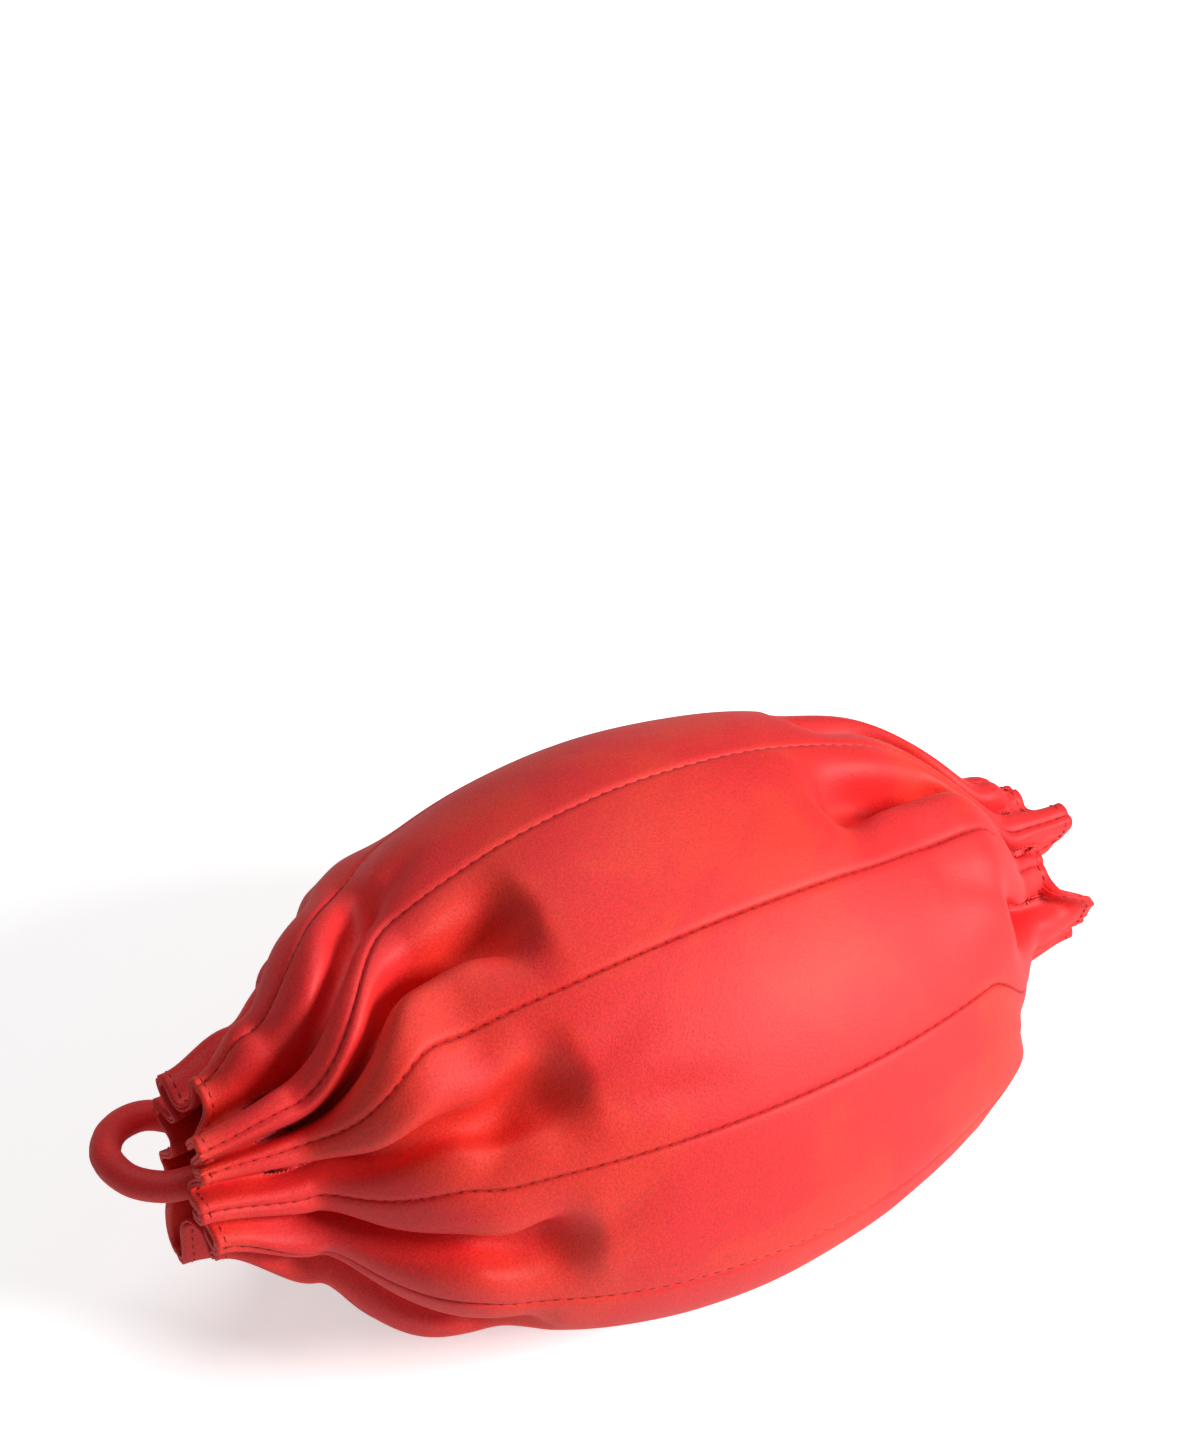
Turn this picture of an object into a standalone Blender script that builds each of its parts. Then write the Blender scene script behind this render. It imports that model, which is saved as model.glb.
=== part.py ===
# Gathered crossbody bag: ten long gores sewn seam to seam and drawn together at both ends
# on a soft sewn tube, with a double ruffle past each gather, a lining, a zip in the back
# seam and a strap of the same tube.
#
# Frame: +X along the bag, -Y towards its front, +Z up, origin on the floor under its middle.
# Metres throughout. Angles round the bag start at the top and grow towards the front.

import math

import bmesh
import bpy
from mathutils import Vector

# Body
GORES = 10
FIRST_SEAM_DEG = -8.0
BODY_RADIUS = 0.080
PROFILE_ARC = 0.174
ARC_END_X = 0.076
AXIS_HEIGHT = 0.068
END_LIFT = 0.007

# Gathered ends, each measured from the middle of the bag
RING_X = 0.115
NECK_X = 0.120
RUFFLE_END_X = 0.141
NECK_RADIUS = 0.0250
RUFFLE_RADIUS = 0.0290
RUFFLE_VALLEY_RADIUS = 0.0175
PLEAT_START_X = 0.036
FOLD_START_X = 0.074
PLEAT_FULL_X = 0.104
PLEAT_DEPTH = 0.0135

# Cloth
PANEL_THICKNESS = 0.0010
FACING_THICKNESS = 0.0008
LINING_THICKNESS = 0.0008
GAP = 0.0003
SEAM_GAP = 0.0003
LINING_GAP = 0.0016

# Buttonholes, one in each gore at each end
BUTTONHOLE_LENGTH = 0.015
BUTTONHOLE_DEG = 5.5

# Sewn tube: the rings in the gathers and the strap
TUBE_DIAMETER = 0.0084
RING_RADIUS = 0.0088
KNOT_RADIUS = 0.0088

# Zip in the back seam
ZIP_SEAM = 8
SLIT_HALF_X = 0.068
SLIT_HALF_WIDTH = 0.0040
CHAIN_HALF_LENGTH = 0.064
ROW_INNER = 0.00015
ROW_OUTER = 0.0019
ROW_TOP = -0.0003
ROW_BOTTOM = -0.0021
TAPE_OUTER = 0.0070
TAPE_THICKNESS = 0.0006
STOP_LENGTH = 0.0020
STOP_TOP = 0.0006
SLIDER_LENGTH = 0.0090
SLIDER_HALF_WIDTH = 0.0033
SLIDER_WALL = 0.0009
SLIDER_TOP = 0.0013
BAIL_HALF_LENGTH = 0.0029
BAIL_HALF_WIDTH = 0.0007
BAIL_HEIGHT = 0.0026
BAIL_BAR = 0.0008
PULL_LENGTH = 0.020
PULL_HALF_WIDTH = 0.0026
PULL_THICKNESS = 0.0010
PULL_DROOP_DEG = 3.0

# Strap: its two free stretches, and the hank that the rest is folded into behind the bag
HANK_CENTRE_Y = 0.0970
HANK_HALF_RUN = 0.0530
HANK_BEND = 0.0176
HANK_BOTTOM = 0.0014
HANK_TURN_RISE = 0.0086
HANK_TURNS = 2
TIE_HALF_WIDTH = 0.0060
TIE_THICKNESS = 0.0010

# Where the strap runs from the left gather to the hank, chosen by hand
STRAP_START_ROUTE = [
    (-0.1142, 0.0000, 0.0750),
    (-0.1320, 0.0003, 0.0751),
    (-0.1410, 0.0018, 0.0755),
    (-0.1475, 0.0068, 0.0760),
    (-0.1508, 0.0140, 0.0760),
    (-0.1505, 0.0212, 0.0750),
    (-0.1468, 0.0282, 0.0728),
    (-0.1405, 0.0332, 0.0702),
    (-0.1325, 0.0346, 0.0675),
    (-0.1245, 0.0330, 0.0618),
    (-0.1168, 0.0305, 0.0530),
    (-0.1095, 0.0305, 0.0420),
    (-0.1020, 0.0350, 0.0290),
    (-0.0970, 0.0440, 0.0170),
    (-0.0945, 0.0560, 0.0085),
    (-0.0900, 0.0680, 0.0058),
    (-0.0820, 0.0765, 0.0056),
    (-0.0710, 0.0794, 0.0056),
]
# Where it runs from the hank to the right gather
STRAP_END_ROUTE = [
    (0.0710, 0.0794, 0.0260),
    (0.0820, 0.0785, 0.0240),
    (0.0910, 0.0730, 0.0190),
    (0.0960, 0.0640, 0.0135),
    (0.0985, 0.0540, 0.0125),
    (0.1005, 0.0440, 0.0175),
    (0.1040, 0.0355, 0.0280),
    (0.1095, 0.0305, 0.0420),
    (0.1168, 0.0305, 0.0530),
    (0.1245, 0.0330, 0.0618),
    (0.1325, 0.0346, 0.0675),
    (0.1405, 0.0332, 0.0702),
    (0.1468, 0.0282, 0.0728),
    (0.1505, 0.0212, 0.0750),
    (0.1508, 0.0140, 0.0760),
    (0.1475, 0.0068, 0.0760),
    (0.1410, 0.0018, 0.0755),
    (0.1320, 0.0003, 0.0751),
    (0.1142, 0.0000, 0.0750),
]
TUBE_POINTS = 32

# Half a gore across, from the ridge on its seam to the valley in its middle: how far round
# the half gore it lies where the bag is round, how far where it is pleated, and its share
# of the pleat's depth
HALF_GORE = [
    (0.00, 0.00, 0.00),
    (0.30, 0.56, -0.02),
    (0.52, 0.78, 0.17),
    (0.80, 0.61, 0.90),
    (1.00, 1.00, 1.00),
]
# Beside an open buttonhole the flank draws back
FLANK_RISE = 0.22

HALF_COLUMNS = len(HALF_GORE)
COLUMNS = 2 * HALF_COLUMNS
GORE_DEG = 360.0 / GORES


def hermite(x, start, end):
    """Height at x of the cubic between two (x, height, slope) points."""
    x0, y0, s0 = start
    x1, y1, s1 = end
    run = x1 - x0
    t = (x - x0) / run
    low = y0 * (2 * t**3 - 3 * t**2 + 1) + s0 * run * (t**3 - 2 * t**2 + t)
    return low + y1 * (3 * t**2 - 2 * t**3) + s1 * run * (t**3 - t**2)


def smooth_step(x, start, end):
    t = min(max((x - start) / (end - start), 0.0), 1.0)
    return t * t * (3 - 2 * t)


def arc_radius(x):
    """Radius of the middle of the bag, whose profile is one arc."""
    return BODY_RADIUS - PROFILE_ARC + math.sqrt(PROFILE_ARC**2 - x * x)


def ridge_radius(x):
    """Distance of the seam ridges from the bag's axis."""
    x = abs(x)
    if x <= ARC_END_X:
        return arc_radius(x)
    arc_slope = -ARC_END_X / math.sqrt(PROFILE_ARC**2 - ARC_END_X**2)
    arc_end = (ARC_END_X, arc_radius(ARC_END_X), arc_slope)
    shoulder = (NECK_X - 0.008, NECK_RADIUS + 0.004, -1.25)
    neck = (NECK_X, NECK_RADIUS, 0.0)
    if x <= shoulder[0]:
        return hermite(x, arc_end, shoulder)
    if x <= neck[0]:
        return hermite(x, shoulder, neck)
    return hermite(x, neck, (RUFFLE_END_X, RUFFLE_RADIUS, 0.25))


def ring_valley_radius():
    """The valleys rest on the tube ring in the gather."""
    return RING_RADIUS + TUBE_DIAMETER / 2 + GAP + PANEL_THICKNESS


def valley_radius(x):
    """Distance of the valleys in the gores' middles from the bag's axis."""
    x = abs(x)
    depth = PLEAT_DEPTH * smooth_step(x, PLEAT_START_X, PLEAT_FULL_X)
    full = (PLEAT_FULL_X, ridge_radius(PLEAT_FULL_X) - PLEAT_DEPTH, -1.45)
    inner = (RING_X - TUBE_DIAMETER / 2 - 0.0008, ring_valley_radius(), 0.0)
    outer = (RING_X + TUBE_DIAMETER / 2 + 0.0020, ring_valley_radius(), 0.0)
    if x <= full[0]:
        return ridge_radius(x) - depth
    if x <= inner[0]:
        return max(hermite(x, full, inner), ring_valley_radius())
    if x <= outer[0]:
        return ring_valley_radius()
    return hermite(x, outer, (RUFFLE_END_X, RUFFLE_VALLEY_RADIUS, 0.10))


def axis_height(x):
    return AXIS_HEIGHT + END_LIFT * smooth_step(abs(x), ARC_END_X, RING_X)


def radial(degrees):
    a = math.radians(degrees)
    return Vector((0, -math.sin(a), math.cos(a)))


def tangent(degrees):
    a = math.radians(degrees)
    return Vector((0, -math.cos(a), -math.sin(a)))


def seam_degrees(index):
    return FIRST_SEAM_DEG + GORE_DEG * index


def buttonhole_opening(x):
    """How far a buttonhole is open at x: 0 outside it and 1 in its middle."""
    t = (abs(x) - RING_X) / (BUTTONHOLE_LENGTH / 2)
    return math.sqrt(max(0.0, 1 - t * t))


def mirrored(half):
    return [-x for x in reversed(half) if x > 0] + half


def stations():
    """Where the gores are cut across, from the left ruffle's edge to the right one's."""
    half_hole = BUTTONHOLE_LENGTH / 2
    return mirrored(
        [
            0.0,
            SLIT_HALF_X * 0.36,
            SLIT_HALF_X * 0.70,
            SLIT_HALF_X,
            ARC_END_X,
            ARC_END_X + (RING_X - half_hole - ARC_END_X) * 0.36,
            ARC_END_X + (RING_X - half_hole - ARC_END_X) * 0.70,
            RING_X - half_hole,
            RING_X - half_hole / 3,
            RING_X + half_hole / 3,
            RING_X + half_hole,
            (RING_X + half_hole + RUFFLE_END_X) / 2,
            RUFFLE_END_X,
        ]
    )


def section_point(x, seam_deg, side, column, edge_offset, hole):
    """A point of the bag's outer surface.

    side is 1 for the half gore after the seam and -1 for the one before it; edge_offset
    moves the seam edge away from the seam; hole is how far a buttonhole is open here.
    """
    share, pleated_share, depth_share = HALF_GORE[column]
    folding = smooth_step(abs(x), FOLD_START_X, PLEAT_FULL_X)
    round_deg = share * GORE_DEG / 2
    pleated_deg = pleated_share * GORE_DEG / 2
    angle = round_deg + folding * (pleated_deg - round_deg)
    if column == HALF_COLUMNS - 1:
        angle -= BUTTONHOLE_DEG * hole
    if column == HALF_COLUMNS - 2:
        depth_share -= FLANK_RISE * hole
    depth = ridge_radius(x) - valley_radius(x)
    radius = ridge_radius(x) - depth * depth_share
    degrees = seam_deg + side * angle
    point = Vector((x, 0, axis_height(x))) + radial(degrees) * radius
    if column == 0:
        point += tangent(seam_deg) * side * edge_offset
    return point


def on_floor(point, height=0.0):
    """The bag is soft: where its round would pass through the floor it lies flat on it."""
    return Vector((point.x, point.y, max(point.z, height)))


def make_material(name, colour, roughness=0.55, metallic=0.0):
    material = bpy.data.materials.new(name)
    material.use_nodes = True
    shader = material.node_tree.nodes["Principled BSDF"]
    shader.inputs["Base Color"].default_value = (*colour, 1)
    shader.inputs["Roughness"].default_value = roughness
    shader.inputs["Metallic"].default_value = metallic
    return material


def add_mesh(name, points, polygons, material, origin=(0, 0, 0), smooth_deg=35):
    origin = Vector(origin)
    mesh = bpy.data.meshes.new(name)
    mesh.from_pydata([tuple(Vector(p) - origin) for p in points], [], polygons)
    mesh.validate()
    mesh.shade_smooth()
    mesh.set_sharp_from_angle(angle=math.radians(smooth_deg))
    mesh.materials.append(material)
    thing = bpy.data.objects.new(name, mesh)
    thing.location = origin
    bpy.context.collection.objects.link(thing)
    return thing


def vertex_normals(points, faces):
    """Normals of an open sheet, by key, averaged over the faces at each point."""
    normals = {key: Vector((0, 0, 0)) for key in points}
    for face in faces:
        a, b, c, d = (points[key] for key in face)
        normal = (c - a).cross(d - b)
        for key in face:
            normals[key] += normal
    return {key: normal.normalized() for key, normal in normals.items()}


def add_sheet(name, outer, inner, faces, material):
    """A closed solid between two layers of points that share their keys."""
    keys = list(outer)
    place = {key: i for i, key in enumerate(keys)}
    count = len(keys)
    points = [outer[key] for key in keys] + [inner[key] for key in keys]
    polygons = [[place[key] for key in face] for face in faces]
    polygons += [[place[key] + count for key in reversed(face)] for face in faces]
    edges = {}
    for face in faces:
        for a, b in zip(face, face[1:] + face[:1]):
            edges[(a, b)] = True
    for a, b in edges:
        if (b, a) not in edges:
            rim = [place[b], place[a], place[a] + count, place[b] + count]
            polygons.append(rim)
    return add_mesh(name, points, polygons, material)


def slit_offset(seam, x):
    """How far a gore's edge stands off its seam: wide where the zip lies between."""
    if seam % GORES == ZIP_SEAM and abs(x) <= SLIT_HALF_X + 1e-6:
        return SLIT_HALF_WIDTH
    return SEAM_GAP / 2


def add_panel(index, material):
    """One gore, with its pleated and ruffled ends and a buttonhole at each gather."""
    outer, sides = {}, {}
    cuts = stations()

    def key(row, column):
        opened = buttonhole_opening(cuts[row]) > 0.01
        if column == HALF_COLUMNS and not opened:
            column = HALF_COLUMNS - 1
        return (row, column)

    for row, x in enumerate(cuts):
        hole = buttonhole_opening(x)
        for column in range(COLUMNS):
            first = column < HALF_COLUMNS
            seam = index if first else index + 1
            side = 1 if first else -1
            own = column if first else COLUMNS - 1 - column
            place = key(row, column)
            if place not in outer:
                point = section_point(
                    x, seam_degrees(seam), side, own, slit_offset(seam, x), hole
                )
                outer[place] = on_floor(point)
                sides[place] = seam if own == 0 else None
    faces = []
    for row in range(len(cuts) - 1):
        for column in [c for c in range(COLUMNS - 1) if c != HALF_COLUMNS - 1]:
            faces.append(
                [
                    key(row, column),
                    key(row, column + 1),
                    key(row + 1, column + 1),
                    key(row + 1, column),
                ]
            )
    normals = vertex_normals(outer, faces)
    inner = {}
    for place, point in outer.items():
        normal = normals[place]
        if sides[place] is not None:
            across = tangent(seam_degrees(sides[place]))
            normal = (normal - across * normal.dot(across)).normalized()
        inner[place] = on_floor(point - normal * PANEL_THICKNESS, PANEL_THICKNESS)
    return add_sheet(f"panel_{index + 1:02d}", outer, inner, faces, material)


def add_facing(name, direction, material):
    """The inner layer of a ruffle, from past the gather to the ruffle's edge."""
    cuts = [x for x in stations() if x * direction >= RING_X + BUTTONHOLE_LENGTH / 2 - 1e-6]
    around = []
    for seam in range(GORES):
        around += [(seam, 1, column) for column in range(HALF_COLUMNS)]
        around += [(seam + 1, -1, column) for column in range(HALF_COLUMNS - 2, 0, -1)]
    base = {}
    for row, x in enumerate(cuts):
        for place, (seam, side, column) in enumerate(around):
            base[(row, place)] = section_point(x, seam_degrees(seam), side, column, 0, 0)
    faces = []
    for row in range(len(cuts) - 1):
        for place in range(len(around)):
            after = (place + 1) % len(around)
            faces.append([(row, place), (row, after), (row + 1, after), (row + 1, place)])
    normals = vertex_normals(base, faces)
    top = PANEL_THICKNESS + GAP
    outer = {key: point - normals[key] * top for key, point in base.items()}
    bottom = top + FACING_THICKNESS
    inner = {key: point - normals[key] * bottom for key, point in base.items()}
    return add_sheet(name, outer, inner, faces, material)


def add_lining(material):
    """A plain tapered sleeve inside the gores, open at both ends and slit behind the zip."""
    cuts = [x for x in stations() if abs(x) < RING_X - BUTTONHOLE_LENGTH / 2 - 1e-6]
    steps = 28
    seam_deg = seam_degrees(ZIP_SEAM)
    layers = []
    for inset in (PANEL_THICKNESS + LINING_GAP, PANEL_THICKNESS + LINING_GAP + LINING_THICKNESS):
        layer = {}
        for row, x in enumerate(cuts):
            radius = valley_radius(x) - inset
            slit = TAPE_OUTER + GAP if abs(x) <= SLIT_HALF_X + 1e-6 else SEAM_GAP / 2
            margin = math.degrees(math.asin(slit / radius))
            for step in range(steps + 1):
                degrees = seam_deg + margin + (360 - 2 * margin) * step / steps
                point = Vector((x, 0, axis_height(x))) + radial(degrees) * radius
                layer[(row, step)] = on_floor(point, inset)
        layers.append(layer)
    faces = []
    for row in range(len(cuts) - 1):
        for step in range(steps):
            faces.append([(row, step), (row, step + 1), (row + 1, step + 1), (row + 1, step)])
    return add_sheet("lining", layers[0], layers[1], faces, material)


def add_ring(name, x, material):
    """The sewn tube's ring, which the gathered cloth sits on."""
    around, tube_sides = 20, 8
    centre = Vector((x, 0, axis_height(x)))
    points, polygons = [], []
    for i in range(around):
        out = radial(360.0 * i / around)
        for j in range(tube_sides):
            a = 2 * math.pi * j / tube_sides
            reach = RING_RADIUS + TUBE_DIAMETER / 2 * math.cos(a)
            points.append(centre + out * reach + Vector((TUBE_DIAMETER / 2 * math.sin(a), 0, 0)))
    for i in range(around):
        for j in range(tube_sides):
            ahead, beside = (i + 1) % around, (j + 1) % tube_sides
            polygons.append(
                [
                    i * tube_sides + j,
                    ahead * tube_sides + j,
                    ahead * tube_sides + beside,
                    i * tube_sides + beside,
                ]
            )
    return add_mesh(name, points, polygons, material)


def add_knot(name, direction, material):
    """The knot inside the gather that keeps the strap from pulling out of the ring."""
    reach = KNOT_RADIUS + TUBE_DIAMETER / 2 + GAP
    behind = math.sqrt(reach**2 - RING_RADIUS**2)
    mesh = bpy.data.meshes.new(name)
    shape = bmesh.new()
    bmesh.ops.create_uvsphere(shape, u_segments=14, v_segments=8, radius=KNOT_RADIUS)
    shape.to_mesh(mesh)
    shape.free()
    mesh.shade_smooth()
    mesh.materials.append(material)
    thing = bpy.data.objects.new(name, mesh)
    thing.location = (direction * (RING_X - behind), 0, axis_height(RING_X))
    bpy.context.collection.objects.link(thing)
    return thing


def smooth_route(route, count):
    """Points evenly spaced along a smooth curve through the route's own points."""
    points = [Vector(p) for p in route]
    points = [2 * points[0] - points[1], *points, 2 * points[-1] - points[-2]]
    fine = []
    for i in range(1, len(points) - 2):
        a, b, c, d = points[i - 1 : i + 3]
        for step in range(16):
            t = step / 16
            fine.append(
                0.5
                * (
                    2 * b
                    + (c - a) * t
                    + (2 * a - 5 * b + 4 * c - d) * t**2
                    + (3 * b - a - 3 * c + d) * t**3
                )
            )
    fine.append(points[-2])
    along = [0.0]
    for a, b in zip(fine, fine[1:]):
        along.append(along[-1] + (b - a).length)
    even, i = [], 0
    for step in range(count):
        target = along[-1] * step / (count - 1)
        while i < len(fine) - 2 and along[i + 1] < target:
            i += 1
        share = (target - along[i]) / (along[i + 1] - along[i])
        even.append(fine[i].lerp(fine[i + 1], share))
    return even


def add_tube(name, route, material):
    curve = bpy.data.curves.new(name, "CURVE")
    curve.dimensions = "3D"
    curve.bevel_depth = TUBE_DIAMETER / 2
    curve.bevel_resolution = 2
    curve.use_fill_caps = True
    spline = curve.splines.new("POLY")
    points = smooth_route(route, TUBE_POINTS)
    spline.points.add(len(points) - 1)
    for target, point in zip(spline.points, points):
        target.co = (*point, 1)
    curve.materials.append(material)
    thing = bpy.data.objects.new(name, curve)
    bpy.context.collection.objects.link(thing)
    return thing


def hank_half_width():
    return HANK_BEND + TUBE_DIAMETER / 2


def hank_top():
    runs_high = HANK_TURNS + HANK_HALF_RUN / (2 * HANK_HALF_RUN + math.pi * HANK_BEND)
    return HANK_BOTTOM + TUBE_DIAMETER + HANK_TURN_RISE * runs_high


def add_hank(material):
    """The folded length of the strap, as one solid with round ends."""
    outline, steps = [], 10
    for side in (1, -1):
        for step in range(steps + 1):
            a = math.pi * (step / steps - 0.5)
            x = side * (HANK_HALF_RUN + hank_half_width() * math.cos(a))
            outline.append((x, HANK_CENTRE_Y + side * hank_half_width() * math.sin(a)))
    count = len(outline)
    points = [(x, y, z) for z in (HANK_BOTTOM, hank_top()) for x, y in outline]
    polygons = [list(reversed(range(count))), list(range(count, 2 * count))]
    for i in range(count):
        j = (i + 1) % count
        polygons.append([i, j, j + count, i + count])
    return add_mesh("strap_hank", points, polygons, material)


def add_tie(material):
    """The band that holds the hank together."""
    low_y = HANK_CENTRE_Y - hank_half_width() - GAP
    high_y = HANK_CENTRE_Y + hank_half_width() + GAP
    low_z, high_z = HANK_BOTTOM - GAP, hank_top() + GAP
    inner = [(low_y, low_z), (high_y, low_z), (high_y, high_z), (low_y, high_z)]
    t = TIE_THICKNESS
    outer = [
        (low_y - t, low_z - t),
        (high_y + t, low_z - t),
        (high_y + t, high_z + t),
        (low_y - t, high_z + t),
    ]
    points = []
    for x in (-TIE_HALF_WIDTH, TIE_HALF_WIDTH):
        points += [(x, y, z) for y, z in outer + inner]
    polygons = []
    for i in range(4):
        j = (i + 1) % 4
        polygons.append([i, j, j + 8, i + 8])
        polygons.append([i + 4, i + 12, j + 12, j + 4])
        polygons.append([i, i + 4, j + 4, j])
        polygons.append([i + 8, j + 8, j + 12, i + 12])
    return add_mesh("strap_tie", points, polygons, material)


def zip_centre():
    """The centre of the arc that the zip follows, where its slider's hinge axis passes."""
    depth = BODY_RADIUS - PROFILE_ARC
    return Vector((0, 0, AXIS_HEIGHT)) + radial(seam_degrees(ZIP_SEAM)) * depth


def zip_point(along, across, height):
    """A point by its way along the chain, across it and above the bag's surface."""
    a = along / PROFILE_ARC
    seam_deg = seam_degrees(ZIP_SEAM)
    up = Vector((math.sin(a), 0, 0)) + radial(seam_deg) * math.cos(a)
    return zip_centre() + up * (PROFILE_ARC + height) + tangent(seam_deg) * across


def add_zip_bar(name, start, end, steps, outline, material, origin=(0, 0, 0)):
    """A bar along the zip, with an outline of (across, height) points."""
    points, count = [], len(outline)
    for step in range(steps + 1):
        along = start + (end - start) * step / steps
        points += [zip_point(along, across, height) for across, height in outline]
    polygons = [list(reversed(range(count)))]
    polygons.append([steps * count + i for i in range(count)])
    for step in range(steps):
        for i in range(count):
            j = (i + 1) % count
            low, high = step * count, (step + 1) * count
            polygons.append([low + i, low + j, high + j, high + i])
    return add_mesh(name, points, polygons, material, origin, smooth_deg=25)


def rectangle(low_across, high_across, low_height, high_height):
    return [
        (low_across, low_height),
        (low_across, high_height),
        (high_across, high_height),
        (high_across, low_height),
    ]


def tape_outline(side):
    """A tape that starts beside the teeth and bends down under the gore's edge."""
    inner = ROW_OUTER + GAP
    inner_top = -PANEL_THICKNESS - GAP - inner**2 / (2 * BODY_RADIUS)
    outer_top = -PANEL_THICKNESS - GAP - TAPE_OUTER**2 / BODY_RADIUS
    outline = [
        (inner, inner_top - TAPE_THICKNESS),
        (inner, inner_top),
        (TAPE_OUTER, outer_top),
        (TAPE_OUTER, outer_top - TAPE_THICKNESS),
    ]
    return outline if side > 0 else [(-a, h) for a, h in reversed(outline)]


def combine(target, other, operation):
    """Adds another solid to target, or cuts it out, and leaves that solid as a guide."""
    modifier = target.modifiers.new(operation.lower(), "BOOLEAN")
    modifier.operation = operation
    modifier.solver = "EXACT"
    modifier.object = other
    other.hide_render = True
    other.display_type = "WIRE"


def slider_rest():
    """The middle of the slider along the chain, when it stands at the right-hand stop."""
    return CHAIN_HALF_LENGTH - SLIDER_LENGTH / 2


def pull_axis_height():
    return SLIDER_TOP + (BAIL_HEIGHT - BAIL_BAR) / 2


def add_slider(material):
    middle = slider_rest()
    w, wall, bottom = SLIDER_HALF_WIDTH, SLIDER_WALL, -PANEL_THICKNESS
    outline = [
        (-w, bottom),
        (-w, SLIDER_TOP),
        (w, SLIDER_TOP),
        (w, bottom),
        (w - wall, bottom),
        (w - wall, ROW_TOP + 0.0004),
        (wall - w, ROW_TOP + 0.0004),
        (wall - w, bottom),
    ]
    half = SLIDER_LENGTH / 2
    slider = add_zip_bar(
        "zip_slider", middle - half, middle + half, 3, outline, material, zip_centre()
    )
    top = SLIDER_TOP + BAIL_HEIGHT
    bail = add_zip_bar(
        "bail_block",
        middle - BAIL_HALF_LENGTH,
        middle + BAIL_HALF_LENGTH,
        1,
        rectangle(-BAIL_HALF_WIDTH, BAIL_HALF_WIDTH, SLIDER_TOP - 0.0004, top),
        material,
    )
    window_half = BAIL_HALF_LENGTH - 0.0014
    window = add_zip_bar(
        "bail_window",
        middle - window_half,
        middle + window_half,
        1,
        rectangle(-2 * w, 2 * w, SLIDER_TOP, top - BAIL_BAR),
        material,
    )
    combine(slider, bail, "UNION")
    combine(slider, window, "DIFFERENCE")
    return slider


def add_pull(material):
    """A flat pull with an end bar through the slider's bail, hinged on that bar."""
    seam_deg = seam_degrees(ZIP_SEAM)
    pivot = zip_point(slider_rest(), 0, pull_axis_height())
    a = slider_rest() / PROFILE_ARC - math.radians(PULL_DROOP_DEG)
    up = Vector((math.sin(a), 0, 0)) + radial(seam_deg) * math.cos(a)
    along = Vector((-math.cos(a), 0, 0)) + radial(seam_deg) * math.sin(a)
    across = tangent(seam_deg)
    half_bar, w = PULL_THICKNESS / 2, PULL_HALF_WIDTH
    hole_end = BAIL_HALF_LENGTH + 0.0008
    hole_half = BAIL_HALF_WIDTH + 0.0004
    outline = [(-half_bar, w), (-half_bar, -w)]
    for step in range(9):
        turn = math.pi * (step / 8 - 0.5)
        outline.append((PULL_LENGTH - w + w * math.cos(turn), w * math.sin(turn)))
    hole = [
        (half_bar, hole_half),
        (half_bar, -hole_half),
        (hole_end, -hole_half),
        (hole_end, hole_half),
    ]

    def slab(name, shape, low, high):
        count = len(shape)
        points = []
        for height in (low, high):
            points += [pivot + along * s + across * c + up * height for s, c in shape]
        polygons = [list(reversed(range(count))), [count + i for i in range(count)]]
        for i in range(count):
            j = (i + 1) % count
            polygons.append([i, j, j + count, i + count])
        return add_mesh(name, points, polygons, material, pivot)

    pull = slab("zip_pull", outline, -half_bar, half_bar)
    combine(pull, slab("pull_hole", hole, -2 * half_bar, 2 * half_bar), "DIFFERENCE")
    return pull


def main():
    for thing in list(bpy.data.objects):
        bpy.data.objects.remove(thing, do_unlink=True)

    satin = make_material("red satin", (0.80, 0.055, 0.050), 0.42)
    inside = make_material("red lining", (0.55, 0.035, 0.035), 0.60)
    tape = make_material("zip tape", (0.60, 0.040, 0.040), 0.75)
    teeth = make_material("zip teeth", (0.50, 0.030, 0.030), 0.45)
    metal = make_material("zip metal", (0.55, 0.55, 0.56), 0.30, 1.0)

    for index in range(GORES):
        add_panel(index, satin)
    add_lining(inside)
    for side, direction in (("left", -1), ("right", 1)):
        add_facing(f"facing_{side}", direction, satin)
        add_ring(f"gather_ring_{side}", direction * RING_X, satin)
        add_knot(f"strap_knot_{side}", direction, satin)
    add_tube("strap_start", STRAP_START_ROUTE, satin)
    add_tube("strap_end", STRAP_END_ROUTE, satin)
    add_hank(satin)
    add_tie(satin)

    reach, tape_end = CHAIN_HALF_LENGTH, SLIT_HALF_X - 0.001
    for side, name in ((1, "upper"), (-1, "lower")):
        add_zip_bar(f"zip_tape_{name}", -tape_end, tape_end, 12, tape_outline(side), tape)
        low, high = sorted((side * ROW_INNER, side * ROW_OUTER))
        row = rectangle(low, high, ROW_BOTTOM, ROW_TOP)
        add_zip_bar(f"zip_teeth_{name}", -reach, reach, 12, row, teeth)
    for side, name in ((-1, "left"), (1, "right")):
        start, end = sorted((side * (reach + GAP), side * (reach + GAP + STOP_LENGTH)))
        block = rectangle(-ROW_OUTER, ROW_OUTER, ROW_BOTTOM, STOP_TOP)
        add_zip_bar(f"zip_stop_{name}", start, end, 1, block, metal)
    add_slider(metal)
    add_pull(metal)


main()
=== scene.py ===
import math
import random

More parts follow.
